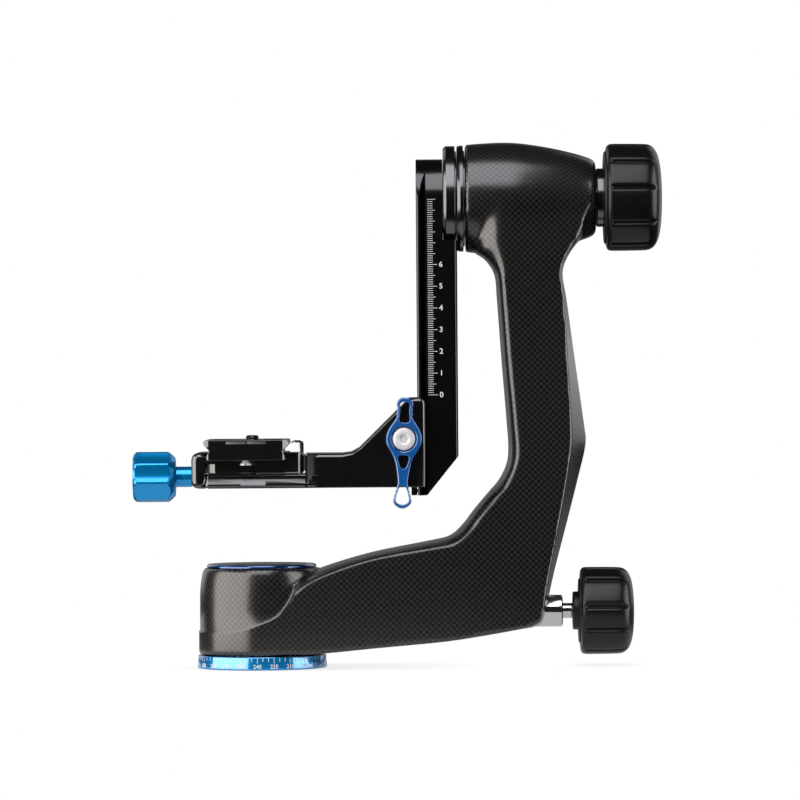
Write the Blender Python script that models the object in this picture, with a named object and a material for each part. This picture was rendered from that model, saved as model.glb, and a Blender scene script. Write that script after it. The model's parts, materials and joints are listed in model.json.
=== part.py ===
# Gimbal tripod head. Metres, +Z up, the pan axis on Z, the tilt axis along X, the lens looking along Y.
import math

import bmesh
import bpy

MM = 0.001
DEG = math.pi / 180

# Shared clearances
FIT = 0.3 * MM
BALL_PLAY = 0.35 * MM
OVERRUN = 2.0 * MM

# Driving sizes of the head
TILT_HEIGHT = 216.6 * MM
ARM_REACH = 150.6 * MM

# Base disc, its thread bush and its screws
DISC_RADIUS = 30.0 * MM
DISC_TOP_RADIUS = 29.5 * MM
DISC_HEIGHT = 5.2 * MM
INSERT_RADIUS = 8.0 * MM
INSERT_HEIGHT = 11.0 * MM
THREAD_RADIUS = 4.76 * MM
BASE_SCREW_PITCH_RADIUS = 16.0 * MM
BASE_SCREW_RADIUS = 1.5 * MM
BASE_SCREW_HEAD_RADIUS = 2.8 * MM
BASE_SCREW_HEAD_HEIGHT = 1.8 * MM
BASE_SCREW_BITE = 2.0 * MM
BASE_SCREW_COUNT = 3

# Pan spindle, its bearing and nut
SPINDLE_FLANGE_PLAY = 3.6 * MM
SPINDLE_FLANGE_HEIGHT = 3.4 * MM
SPINDLE_STEP_LEDGE = 1.8 * MM
SPINDLE_STEP_HEIGHT = 1.8 * MM
SPINDLE_RADIUS = 12.0 * MM
SEAL_WIDTH = 3.6 * MM
SEAL_HEIGHT = 0.6 * MM
RACE_WALL = 2.7 * MM
RACE_GAP = 2.8 * MM
RACE_WIDTH = 7.0 * MM
BALL_RADIUS = 1.9 * MM
BALL_COUNT = 7
CAGE_THICKNESS = 0.9 * MM
CAGE_WIDTH = 2.6 * MM
GROOVE_HALF_WIDTH = 2.3 * MM
NUT_WALL = 2.7 * MM
NUT_HEIGHT = 3.0 * MM

# Pan barrel of the arm
FLANGE_LEDGE = 0.55 * MM
FLANGE_TOP = 17.7 * MM
BARREL_WALL = 5.1 * MM
BARREL_RIM = 2.4 * MM
BARREL_SHOULDER = 31.0 * MM
EDGE_ROUND = 1.0 * MM
PAN_SLEEVE_WALL = 2.5 * MM
PAN_SLEEVE_LIP = 1.2 * MM
BUSH_HEIGHT = 7.8 * MM
BUSH_STANDOFF = 4.0 * MM
TRIM_STANDOUT = 1.8 * MM
TRIM_HEIGHT = 1.5 * MM
TRIM_WALL = 3.4 * MM
CAP_HEIGHT = 2.0 * MM

# Carbon shell of the arm
CARBON_WALL = 3.2 * MM
INNER_CREST = 10.0 * MM
OUTER_CREST = 6.0 * MM
# Each row is one section from the swing side to the back of the arm: (x, z) shares of the arm's reach and
# rise at the crest, at the face's inner edge, at the face's outer edge and at the back crest, then how far
# the half thickness has gone from the pan flange to the hub, and how much of it is left at the outer edge.
ARM_SECTION_SHARES = (
    ((0.000, 0.074), (0.000, 0.061), (0.000, 0.005), (0.000, 0.003), 0.10, 1.000),
    ((0.093, 0.153), (0.092, 0.118), (0.093, 0.004), (0.093, 0.001), 0.00, 1.000),
    ((0.176, 0.184), (0.166, 0.159), (0.183, 0.005), (0.183, 0.002), 0.00, 1.000),
    ((0.334, 0.220), (0.338, 0.208), (0.352, 0.016), (0.352, 0.012), 0.05, 1.000),
    ((0.519, 0.246), (0.525, 0.231), (0.548, 0.028), (0.548, 0.025), 0.25, 1.000),
    ((0.581, 0.257), (0.594, 0.240), (0.669, 0.040), (0.671, 0.036), 0.37, 1.000),
    ((0.621, 0.282), (0.641, 0.266), (0.788, 0.055), (0.792, 0.050), 0.53, 1.000),
    ((0.651, 0.310), (0.671, 0.293), (0.839, 0.065), (0.847, 0.058), 0.65, 1.000),
    ((0.680, 0.335), (0.699, 0.318), (0.859, 0.086), (0.868, 0.079), 0.77, 1.000),
    ((0.708, 0.358), (0.731, 0.345), (0.881, 0.179), (0.899, 0.175), 0.94, 1.000),
    ((0.733, 0.379), (0.757, 0.367), (0.910, 0.282), (0.938, 0.281), 1.10, 1.000),
    ((0.756, 0.412), (0.780, 0.402), (0.936, 0.386), (0.976, 0.386), 1.26, 1.000),
    ((0.763, 0.448), (0.792, 0.441), (0.950, 0.460), (0.999, 0.458), 1.35, 0.990),
    ((0.758, 0.511), (0.785, 0.510), (0.950, 0.512), (0.993, 0.510), 1.37, 0.985),
    ((0.744, 0.640), (0.770, 0.640), (0.942, 0.638), (0.969, 0.636), 1.37, 0.965),
    ((0.731, 0.776), (0.756, 0.774), (0.933, 0.774), (0.944, 0.774), 1.32, 0.915),
    ((0.723, 0.834), (0.750, 0.835), (0.924, 0.833), (0.932, 0.835), 1.25, 0.885),
    ((0.692, 0.868), (0.746, 0.874), (0.946, 0.877), (0.952, 0.875), 1.20, 0.860),
    ((0.661, 0.890), (0.746, 0.916), (0.988, 0.923), (0.994, 0.920), 1.12, 0.785),
    ((0.664, 1.000), (0.745, 1.000), (1.016, 1.000), (1.028, 1.000), 1.05, 0.711),
)
RINGS_PER_SECTION = 2
CAVITY_FIRST_SECTION = 2.6
CAVITY_LAST_SECTION = 17.0

# Tilt hub of the arm
HUB_SETBACK = 55.1 * MM
HUB_LENGTH = 60.5 * MM
HUB_WALL = 4.6 * MM
HUB_SHARES = (
    (0.000, 0.950), (0.012, 0.965), (0.200, 1.000), (0.360, 0.995), (0.500, 0.965),
    (0.653, 0.900), (0.835, 0.800), (0.960, 0.705), (1.000, 0.600),
)
HUB_BORE_RADIUS = 21.2 * MM
HUB_BORE_DEPTH = 26.5 * MM
TILT_SLEEVE_STEP = 8.5 * MM
TILT_SHOULDER_LIP = 2.5 * MM
REAR_SLEEVE_WALL = 2.0 * MM
REAR_BUSH_WALL = 1.9 * MM
REAR_BUSH_LENGTH = 14.0 * MM
FRONT_RING_RADIUS = 24.6 * MM
FRONT_RING_WIDTH = 2.9 * MM
RING_GROOVE_WIDTH = 0.9 * MM
RING_GROOVE_DEPTH = 2.4 * MM
FRONT_RING_PLAY = 2.1 * MM
COLLAR_RADIUS = 13.55 * MM
COLLAR_LENGTH = 4.6 * MM

# Tilt shaft, flange and screws
SHAFT_RADIUS = 9.0 * MM
SHAFT_REAR_RADIUS = 7.5 * MM
SHAFT_THREAD_RADIUS = 4.0 * MM
SHAFT_TIP_GAP = 1.4 * MM
SHAFT_STEP_LEDGE = 1.5 * MM
HUB_FLANGE_RADIUS = 24.4 * MM
HUB_FLANGE_WIDTH = 5.5 * MM
HUB_FLANGE_CHAMFER = 1.2 * MM
HUB_SCREW_OFFSET = 5.0 * MM
HUB_SCREW_RADIUS = 2.0 * MM
HUB_SCREW_HEAD_RADIUS = 3.5 * MM
HUB_SCREW_HEAD_HEIGHT = 3.0 * MM
HUB_SCREW_BITE = 4.0 * MM
HUB_SCREW_COUNT = 3

# Hanging rail
RAIL_HALF_WIDTH = 18.3 * MM
RAIL_PLATE = 12.3 * MM
RAIL_THICKNESS = 18.8 * MM
RAIL_FOOT_HEIGHT = 79.5 * MM
RAIL_RIM = 1.5 * MM
RAIL_GROOVE_DEPTH = 4.0 * MM
RAIL_GROOVE_SLANT = 2.5 * MM
RAIL_GROOVE_FLAT = 0.4 * MM
RAIL_CHAMFER_WIDTH = 14.6 * MM
RAIL_CHAMFER_HEIGHT = 18.1 * MM
RAIL_STEP_DROP = 19.6 * MM
RAIL_ARCH_FACETS = 20
STOP_THICKNESS = 2.7 * MM
STOP_HALF_WIDTH = 12.0 * MM
STOP_RIM = 0.4 * MM
STOP_SCREW_RADIUS = 0.8 * MM
STOP_SCREW_HEAD_RADIUS = 1.4 * MM
STOP_SCREW_HEAD_HEIGHT = 1.0 * MM
STOP_SCREW_BITE = 2.6 * MM

# Knobs of the two locks
SHOE_RADIUS = 4.5 * MM
SHOE_STANDOFF = 2.8 * MM
SHOE_LENGTH = 9.7 * MM
ROD_RADIUS = 3.5 * MM
GUIDE_RADIUS = 7.35 * MM
GUIDE_LENGTH = 15.0 * MM
GUIDE_STANDOUT = 8.1 * MM
ROD_SHOWN = 4.7 * MM
PAN_COLLAR_RADIUS = 8.85 * MM
PAN_COLLAR_LENGTH = 3.8 * MM
PAN_GRIP_WALL = 6.3 * MM
PAN_CORE_LENGTH = 17.8 * MM
PAN_GRIP_RADIUS = 20.3 * MM
PAN_GRIP_LENGTH = 24.9 * MM
PAN_PLATE_INSET = 5.3 * MM
PAN_PLATE_THICKNESS = 1.3 * MM
ROD_BITE = 18.0 * MM
TILT_GRIP_WALL = 7.9 * MM
TILT_CORE_LENGTH = 17.3 * MM
TILT_GRIP_RADIUS = 24.9 * MM
TILT_GRIP_LENGTH = 26.0 * MM
TILT_PLATE_INSET = 3.4 * MM
TILT_PLATE_THICKNESS = 1.7 * MM
WASHER_INSET = 0.65 * MM
WASHER_THICKNESS = 1.2 * MM
GRIP_LAP = 0.8 * MM
# Share of the grip's length, share of its radius, share of the groove's depth there
GRIP_SHARES = (
    (0.000, 0.920, 0.0), (0.024, 0.975, 0.0), (0.080, 1.000, 0.0), (0.110, 1.000, 1.0),
    (0.750, 1.000, 1.0), (0.840, 0.890, 1.0), (0.925, 0.710, 0.0), (1.000, 0.220, 0.0),
)
GRIP_GROOVE_DEPTH = 1.3 * MM
GRIP_GROOVE_HALF_WIDTH = 1.6 * MM
GRIP_PANELS = 10
WIDE_PANEL = 40.0 * DEG
NARROW_PANEL = 32.0 * DEG
TILT_GRIP_TURN = -99.4 * DEG
PAN_GRIP_TURN = -97.1 * DEG

# Platform bracket
BRACKET_HEIGHT = 41.3 * MM
BRACKET_SETBACK = 0.3 * MM
BRACKET_CHEEK = 4.7 * MM
NECK_HALF_WIDTH = 19.0 * MM
NECK_HEIGHT = 15.8 * MM
BLOCK_TOP_LENGTH = 7.4 * MM
GUSSET_RUN = 23.3 * MM
FILLET_RUN = 7.1 * MM
LIP_TIP_SHARE = 0.72
LIP_GAP = 0.35 * MM
PLATFORM_REACH = 78.9 * MM
CLAMP_HALF_LENGTH = 25.0 * MM
CLAMP_FILLET = 8.0 * MM
DECK_HEIGHT = 6.2 * MM
TROUGH_PLAY = 0.5 * MM
TROUGH_ROOM = 5.6 * MM
SPRING_PLAY = 0.2 * MM

# Lever, its screw and the wedge shoe
LEVER_INSET = 10.0 * MM
LEVER_RISE = 22.3 * MM
LEVER_BOSS_RADIUS = 8.2 * MM
LEVER_THICKNESS = 4.6 * MM
LEVER_UP_LENGTH = 19.0 * MM
LEVER_DOWN_LENGTH = 32.1 * MM
LEVER_LEAN = 2.0 * DEG
LEVER_STANDOFF = 1.0 * MM
LEVER_SCREW_RADIUS = 2.9 * MM
LEVER_SCREW_HEAD_RADIUS = 5.3 * MM
LEVER_SCREW_HEAD_HEIGHT = 3.2 * MM
LEVER_RECESS = 3.6 * MM
LEVER_RECESS_PLAY = 0.6 * MM
LEVER_SOCKET_RADIUS = 2.2 * MM
LEVER_SOCKET_DEPTH = 1.8 * MM
WEDGE_LENGTH = 9.3 * MM
WEDGE_HALF_WIDTH = 5.5 * MM
WEDGE_HALF_HEIGHT = 6.0 * MM
WEDGE_ROOM = 1.0 * MM
# Share of the arm's length from the boss centre, half width as a share of the boss radius
LEVER_UP_SHARES = (
    (0.50, 0.42), (0.60, 0.42), (0.68, 0.45), (0.80, 0.47), (0.88, 0.45), (0.95, 0.33), (1.00, 0.12),
)
LEVER_DOWN_SHARES = (
    (0.19, 0.66), (0.25, 0.56), (0.37, 0.44), (0.50, 0.34), (0.61, 0.29), (0.68, 0.36),
    (0.77, 0.43), (0.88, 0.53), (0.94, 0.46), (0.98, 0.28), (1.00, 0.10),
)
LEVER_HOLE_SHARES = (
    (LEVER_UP_LENGTH, ((0.45, 0.16), (0.48, 0.29), (0.62, 0.24), (0.80, 0.32), (0.87, 0.22), (0.90, 0.10))),
    (-LEVER_DOWN_LENGTH, ((0.29, 0.20), (0.30, 0.27), (0.36, 0.24), (0.41, 0.17), (0.43, 0.08))),
    (-LEVER_DOWN_LENGTH, ((0.70, 0.08), (0.73, 0.16), (0.84, 0.34), (0.90, 0.36), (0.94, 0.24), (0.95, 0.10))),
)
HUB_BLEND_ANGLES = (52.0 * DEG, 40.0 * DEG)

# Quick-release clamp
CLAMP_EDGE_PLAY = 0.8 * MM
CLAMP_LIP_HEIGHT = 1.2 * MM
CLAMP_PIN_COVER = 1.1 * MM
CLAMP_SCREW_RISE = 5.2 * MM
CLAMP_LUG_HALF_WIDTH = 4.5 * MM
CLAMP_LUG_LENGTH = 14.0 * MM
CLAMP_LUG_INSET = 6.0 * MM
STOP_GROOVE_HALF_WIDTH = 4.0 * MM
STOP_GROOVE_DEPTH = 2.4 * MM
JAW_THICKNESS = 6.4 * MM
JAW_HALF_LENGTH = 24.0 * MM
JAW_CORNER = 2.0 * MM
CLAMP_PIN_RADIUS = 2.0 * MM
CLAMP_PIN_SPACING = 30.0 * MM
CLAMP_PIN_RISE = 3.2 * MM
CLAMP_PIN_BITE = 12.0 * MM
CLAMP_PIN_REACH = 4.6 * MM
SPRING_WIRE_RADIUS = 0.25 * MM
SPRING_RADIUS = 3.55 * MM
SPRING_TURNS = 4
CLAMP_BOLT_RADIUS = 1.7 * MM
CLAMP_BOLT_HEAD_RADIUS = 3.0 * MM
CLAMP_BOLT_HEAD_HEIGHT = 2.4 * MM
CLAMP_BOLT_BITE = 3.2 * MM
CLAMP_BOLT_SPACING = 28.0 * MM
LEVEL_RADIUS = 3.1 * MM
LEVEL_HEIGHT = 5.9 * MM
LEVEL_RIM = 0.5 * MM
LEVEL_PLAY = 0.6 * MM
LEVEL_SEAT = 1.0 * MM

# Clamp knob and screw
CLAMP_KNOB_RADIUS = 11.95 * MM
CLAMP_KNOB_LENGTH = 19.6 * MM
CLAMP_KNOB_CHAMFER = 1.7 * MM
CLAMP_KNOB_SHOULDER = 3.2 * MM
CLAMP_NECK_RADIUS = 4.75 * MM
CLAMP_NECK_LENGTH = 7.8 * MM
CLAMP_FLUTES = 8
CLAMP_FLUTE_DEPTH = 1.2 * MM
CLAMP_FLUTE_TURN = -98.5 * DEG
CLAMP_SCREW_RADIUS = 3.0 * MM
CLAMP_SCREW_BITE = 16.0 * MM
CLAMP_SCREW_TIP = 2.6 * MM

# Camera plate and what it carries
PLATE_HALF_WIDTH = 19.3 * MM
PLATE_FOOT_INSET = 1.5 * MM
PLATE_WAIST_INSET = 1.4 * MM
PLATE_TRAVEL = 3.5 * MM
PLATE_HEIGHT = 9.2 * MM
PLATE_FOOT_HEIGHT = 2.3 * MM
PLATE_WAIST_HEIGHT = 4.2 * MM
PLATE_SHOULDER_HEIGHT = 7.0 * MM
CAMERA_SCREW_RADIUS = 3.1 * MM
CAMERA_SCREW_HEAD_RADIUS = 6.6 * MM
CAMERA_SCREW_HEAD_HEIGHT = 3.0 * MM
CAMERA_SCREW_STANDOUT = 4.6 * MM
CAMERA_SCREW_SHIFT = 2.3 * MM
CAMERA_SLOT_HALF_LENGTH = 15.0 * MM
PAD_SIDE_INSET = 3.7 * MM
PAD_END_INSET = 6.0 * MM
PAD_SIDE_BAND = 7.6 * MM
PAD_END_BAND = 9.0 * MM
PAD_THICKNESS = 1.0 * MM
PAD_SEAT = 0.7 * MM
STOP_BOLT_RADIUS = 1.2 * MM
STOP_BOLT_HEAD_RADIUS = 2.6 * MM
STOP_BOLT_HEAD_HEIGHT = 2.0 * MM
STOP_BOLT_INSET = 3.6 * MM
STOP_BOLT_BITE = 4.0 * MM

# Facets of round pieces
FINE = 36
MEDIUM = 24
HIDDEN = 20
COARSE = 16
TINY = 10

# Names of a pair of pieces, front first
SIDES = ("front", "back")

# Turns that lay a piece's own Z along X, and along -Y towards the viewer
ALONG_X = (0, 90 * DEG, 0)
TOWARDS_FRONT = (90 * DEG, 0, 0)

BLACK_ANODISED = ((0.012, 0.012, 0.014), 0.85, 0.38)
BLUE_ANODISED = ((0.004, 0.075, 0.32), 0.85, 0.28)
CARBON = ((0.022, 0.021, 0.022), 0.1, 0.36)
RUBBER = ((0.016, 0.016, 0.018), 0.0, 0.55)
CHROME = ((0.82, 0.82, 0.84), 1.0, 0.12)
STEEL = ((0.55, 0.55, 0.57), 1.0, 0.3)
ALUMINIUM = ((0.7, 0.7, 0.71), 1.0, 0.35)
BRONZE = ((0.55, 0.33, 0.12), 1.0, 0.35)
BLACK_PLASTIC = ((0.014, 0.014, 0.015), 0.0, 0.45)
CLEAR = ((0.85, 0.88, 0.86), 0.0, 0.08)


def clear_scene():
    for item in list(bpy.data.objects):
        bpy.data.objects.remove(item, do_unlink=True)


def paint(item, finish):
    colour, metallic, roughness = finish
    material = bpy.data.materials.new(item.name)
    material.use_nodes = True
    shader = material.node_tree.nodes["Principled BSDF"]
    shader.inputs["Base Color"].default_value = (*colour, 1)
    shader.inputs["Metallic"].default_value = metallic
    shader.inputs["Roughness"].default_value = roughness
    item.data.materials.clear()
    item.data.materials.append(material)


def solid(name, mesh_data, finish=None):
    """Turn a bmesh into an object whose faces point out, with soft shading between its sharp edges."""
    bmesh.ops.recalc_face_normals(mesh_data, faces=mesh_data.faces[:])
    mesh = bpy.data.meshes.new(name)
    mesh_data.to_mesh(mesh)
    mesh_data.free()
    mesh.shade_smooth()
    mesh.set_sharp_from_angle(angle=35 * DEG)
    item = bpy.data.objects.new(name, mesh)
    bpy.context.collection.objects.link(item)
    if finish:
        paint(item, finish)
    return item


def bridge(mesh_data, lower, upper):
    """Skin two rings of vertices; a ring of one vertex is a tip."""
    count = max(len(lower), len(upper))
    if count == 1:
        return
    for step in range(count):
        after = (step + 1) % count
        corners = [ring[index % len(ring)] for ring, index in
                   ((lower, step), (lower, after), (upper, after), (upper, step))]
        mesh_data.faces.new(list(dict.fromkeys(corners)))


def lofted(name, rings, finish=None):
    """Skin rings of points and close both ends."""
    mesh_data = bmesh.new()
    made = [[mesh_data.verts.new(point) for point in ring] for ring in rings]
    for lower, upper in zip(made, made[1:]):
        bridge(mesh_data, lower, upper)
    for ring in (made[0], made[-1]):
        mesh_data.faces.new(ring)
    return solid(name, mesh_data, finish)


def turned(name, profile, finish=None, facets=FINE):
    """Turn a loop of (radius, height) about Z; a flat end on the axis becomes one face."""
    loop = list(profile)
    on_axis = loop[0][0] == 0
    flat_start = on_axis and loop[0][1] == loop[1][1]
    flat_end = on_axis and loop[-1][1] == loop[-2][1]
    if flat_start:
        loop.pop(0)
    if flat_end:
        loop.pop()
    mesh_data = bmesh.new()
    rings = []
    for radius, height in loop:
        count = facets if radius else 1
        angles = [2 * math.pi * step / facets for step in range(count)]
        rings.append([mesh_data.verts.new((radius * math.cos(a), radius * math.sin(a), height)) for a in angles])
    for lower, upper in zip(rings, rings[1:]):
        bridge(mesh_data, lower, upper)
    if not on_axis:
        bridge(mesh_data, rings[-1], rings[0])
    if flat_start:
        mesh_data.faces.new(rings[0])
    if flat_end:
        mesh_data.faces.new(rings[-1])
    return solid(name, mesh_data, finish)


def pin(name, radius, low, high, finish=None, facets=COARSE):
    return turned(name, [(0, low), (radius, low), (radius, high), (0, high)], finish, facets)


def tube(name, inner, outer, low, high, finish=None, facets=MEDIUM):
    return turned(name, [(inner, low), (outer, low), (outer, high), (inner, high)], finish, facets)


def prism(name, outline, low, high, finish=None):
    """Extrude an (x, y) outline along Z."""
    return lofted(name, [[(x, y, height) for x, y in outline] for height in (low, high)], finish)


def side_prism(name, outline, half_width, finish=None):
    """Extrude an (x, z) outline along Y, as far to the front as to the back."""
    return lofted(name, [[(x, y, z) for x, z in outline] for y in (-half_width, half_width)], finish)


def block(name, low, high, finish=None):
    outline = [(low[0], low[1]), (high[0], low[1]), (high[0], high[1]), (low[0], high[1])]
    return prism(name, outline, low[2], high[2], finish)


def place(item, parent=None, location=(0, 0, 0), rotation=(0, 0, 0)):
    item.parent = parent
    item.location = location
    item.rotation_euler = rotation
    return item


def anchor(name, location, rotation=(0, 0, 0)):
    """An empty on a joint's axis, which carries the pieces that turn or slide there."""
    item = bpy.data.objects.new(name, None)
    bpy.context.collection.objects.link(item)
    return place(item, None, location, rotation)


def shape(item, tool, operation="DIFFERENCE"):
    """Cut, join or intersect an object with a tool, which is used up."""
    modifier = item.modifiers.new(operation.lower(), "BOOLEAN")
    modifier.operation = operation
    modifier.object = tool
    bpy.context.view_layer.update()
    view = bpy.context.evaluated_depsgraph_get()
    mesh = bpy.data.meshes.new_from_object(item.evaluated_get(view), depsgraph=view)
    item.modifiers.clear()
    item.data = mesh
    bpy.data.objects.remove(tool, do_unlink=True)
    mesh.shade_smooth()
    mesh.set_sharp_from_angle(angle=35 * DEG)
    return item


def around(count, radius, start=0):
    """Places evenly spaced on a circle about Z."""
    angles = [start + 2 * math.pi * step / count for step in range(count)]
    return [(radius * math.cos(angle), radius * math.sin(angle)) for angle in angles]


def smooth_row(rows, place_share):
    """A Catmull-Rom blend of rows of numbers at a fractional row number."""
    first = min(int(place_share), len(rows) - 2)
    t = place_share - first
    picked = [rows[max(0, min(len(rows) - 1, first + step))] for step in (-1, 0, 1, 2)]
    blended = []
    for before, start, end, after in zip(*picked):
        blended.append(0.5 * (2 * start + (end - before) * t + (2 * before - 5 * start + 4 * end - after) * t**2
                              + (3 * start - before - 3 * end + after) * t**3))
    return blended


# Radii and heights of the pan stack, from the spindle out and from the disc up
PAN_RACE_BORE = SPINDLE_RADIUS + FIT
PAN_SEAT_RADIUS = PAN_RACE_BORE + 2 * RACE_WALL + RACE_GAP + FIT
PAN_SLEEVE_RADIUS = PAN_SEAT_RADIUS + PAN_SLEEVE_WALL
PAN_SHOULDER_RADIUS = PAN_SEAT_RADIUS - PAN_SLEEVE_LIP - FIT
PAN_BORE_RADIUS = PAN_SLEEVE_RADIUS + FIT
BARREL_RADIUS = PAN_BORE_RADIUS + BARREL_WALL
BARREL_TOP_RADIUS = PAN_BORE_RADIUS + BARREL_RIM
FLANGE_RADIUS = BARREL_RADIUS + FLANGE_LEDGE
TRIM_RADIUS = PAN_BORE_RADIUS + TRIM_STANDOUT
FLANGE_BASE = DISC_HEIGHT + FIT
SEAL_INNER_RADIUS = PAN_BORE_RADIUS + FIT
ARM_FOOT = FLANGE_BASE + SEAL_HEIGHT + FIT
STEP_BASE = FLANGE_BASE + SPINDLE_FLANGE_HEIGHT
RACE_BASE = STEP_BASE + SPINDLE_STEP_HEIGHT + FIT
RACE_TOP = RACE_BASE + RACE_WIDTH
PAN_LOCK_HEIGHT = RACE_TOP + SHOE_STANDOFF + SHOE_RADIUS
BUSH_BASE = PAN_LOCK_HEIGHT + SHOE_RADIUS + BUSH_STANDOFF
BUSH_TOP = BUSH_BASE + BUSH_HEIGHT
NUT_BASE = BUSH_TOP + FIT
BARREL_TOP = BUSH_TOP + NUT_HEIGHT + CAP_HEIGHT - FIT

# Places along the tilt line, from the rail to the knob
HUB_START = ARM_REACH - HUB_SETBACK
HUB_END = HUB_START + HUB_LENGTH
HUB_STEP = HUB_START + HUB_BORE_DEPTH
FRONT_RING_END = HUB_START - FIT
RING_REAR_GROOVE = HUB_START - RING_GROOVE_WIDTH
FRONT_RING_START = RING_REAR_GROOVE - FRONT_RING_WIDTH
FLANGE_SPIGOT_END = FRONT_RING_START - FIT
HUB_FLANGE_END = FRONT_RING_START - RING_GROOVE_WIDTH
HUB_FLANGE_START = HUB_FLANGE_END - HUB_FLANGE_WIDTH
RAIL_LEFT = HUB_FLANGE_START - FIT - RAIL_PLATE
RAIL_RIGHT = RAIL_LEFT + RAIL_THICKNESS
TILT_RACE_START = HUB_START + OVERRUN / 2
TILT_RACE_END = TILT_RACE_START + RACE_WIDTH
COLLAR_START = HUB_END + FIT
COLLAR_END = COLLAR_START + COLLAR_LENGTH
WASHER_START = COLLAR_END + FIT
TILT_CORE_START = WASHER_START + WASHER_THICKNESS + FIT
TILT_PLATE_START = COLLAR_END - TILT_PLATE_THICKNESS + 2 * FIT
TILT_GRIP_START = TILT_PLATE_START + TILT_PLATE_THICKNESS - GRIP_LAP
HUB_RADIUS = HUB_BORE_RADIUS + HUB_WALL
SHAFT_STEP_RADIUS = SHAFT_RADIUS + SHAFT_STEP_LEDGE
FRONT_RING_BORE_RADIUS = SHAFT_STEP_RADIUS + FRONT_RING_PLAY
HUB_SCREW_PITCH_RADIUS = SHAFT_RADIUS + HUB_SCREW_OFFSET
TILT_SLEEVE_RADIUS = HUB_BORE_RADIUS - FIT
TILT_INNER_RACE_BORE = SHAFT_RADIUS + FIT
TILT_OUTER_RACE_RADIUS = TILT_INNER_RACE_BORE + 2 * RACE_WALL + RACE_GAP
TILT_SEAT_RADIUS = TILT_OUTER_RACE_RADIUS + FIT
TILT_CORE_RADIUS = TILT_GRIP_RADIUS - TILT_GRIP_WALL
TILT_PLATE_RADIUS = TILT_GRIP_RADIUS - TILT_PLATE_INSET
PAN_CORE_RADIUS = PAN_GRIP_RADIUS - PAN_GRIP_WALL
PAN_PLATE_RADIUS = PAN_GRIP_RADIUS - PAN_PLATE_INSET
WASHER_RADIUS = COLLAR_RADIUS - WASHER_INSET
REAR_BUSH_RADIUS = SHAFT_REAR_RADIUS + FIT + REAR_BUSH_WALL
HUB_REAR_BORE_RADIUS = REAR_BUSH_RADIUS + FIT + REAR_SLEEVE_WALL + FIT

# Places of the platform
STOP_HEIGHT = 2 * (STOP_SCREW_HEAD_RADIUS + STOP_RIM)
PLATFORM_BOTTOM = RAIL_FOOT_HEIGHT + STOP_HEIGHT + FIT
BRACKET_RIGHT = RAIL_LEFT + RAIL_RIM + RAIL_GROOVE_SLANT - BRACKET_SETBACK
BRACKET_HALF_WIDTH = RAIL_HALF_WIDTH + BRACKET_CHEEK
DECK_TOP = PLATFORM_BOTTOM + DECK_HEIGHT
CLAMP_BASE = DECK_TOP + FIT
PIN_HEIGHT = CLAMP_BASE + CLAMP_PIN_RISE
CHANNEL_FLOOR = PIN_HEIGHT + CLAMP_PIN_RADIUS + CLAMP_PIN_COVER
PLATE_BOTTOM = CHANNEL_FLOOR + FIT
PLATE_TOP = PLATE_BOTTOM + PLATE_HEIGHT
CLAMP_TOP = PLATE_BOTTOM + PLATE_FOOT_HEIGHT + CLAMP_LIP_HEIGHT
PLATE_CENTRE = RAIL_LEFT - PLATFORM_REACH
PLATE_HALF_LENGTH = CLAMP_HALF_LENGTH + FIT + PLATE_TRAVEL + STOP_BOLT_HEAD_RADIUS + STOP_BOLT_INSET
PLATE_FOOT_HALF_WIDTH = PLATE_HALF_WIDTH - PLATE_FOOT_INSET
PLATE_WAIST_HALF_WIDTH = PLATE_FOOT_HALF_WIDTH - PLATE_WAIST_INSET
FLANK_SLOPE = PLATE_WAIST_INSET / (PLATE_WAIST_HEIGHT - PLATE_FOOT_HEIGHT)
LIP_HALF_WIDTH = PLATE_FOOT_HALF_WIDTH - FLANK_SLOPE * CLAMP_LIP_HEIGHT + LIP_GAP
LEVEL_X = PLATE_CENTRE + PLATE_HALF_WIDTH + LEVEL_PLAY + LEVEL_RADIUS
CLAMP_LEFT_X = PLATE_CENTRE - PLATE_FOOT_HALF_WIDTH - CLAMP_EDGE_PLAY
CLAMP_RIGHT_X = LEVEL_X + LEVEL_RADIUS + LEVEL_RIM
CLAMP_SCREW_HEIGHT = PLATFORM_BOTTOM + CLAMP_SCREW_RISE
CLAMP_LUG_START = CLAMP_LEFT_X + CLAMP_LUG_INSET
CLAMP_LUG_END = CLAMP_LUG_START + CLAMP_LUG_LENGTH
CLAMP_SCREW_END = CLAMP_LUG_END + CLAMP_SCREW_TIP
TROUGH_FLOOR = CLAMP_SCREW_HEIGHT - SPRING_RADIUS - SPRING_WIRE_RADIUS - SPRING_PLAY
JAW_INNER_X = CLAMP_LEFT_X - FIT
JAW_OUTER_X = JAW_INNER_X - JAW_THICKNESS
LEVER_X = BRACKET_RIGHT - LEVER_INSET
LEVER_Z = PLATFORM_BOTTOM + LEVER_RISE


def race_profile(bore, outer, low, width, groove_radius, groove_outside):
    """A bearing ring with a shallow groove on its outside or its inside."""
    middle = low + width / 2
    wall = outer if groove_outside else bore
    groove = [(wall, middle - GROOVE_HALF_WIDTH), (groove_radius, middle), (wall, middle + GROOVE_HALF_WIDTH)]
    if groove_outside:
        return [(bore, low), (outer, low), *groove, (outer, low + width), (bore, low + width)]
    return [(outer, low + width), (bore, low + width), *reversed(groove), (bore, low), (outer, low)]


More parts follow.
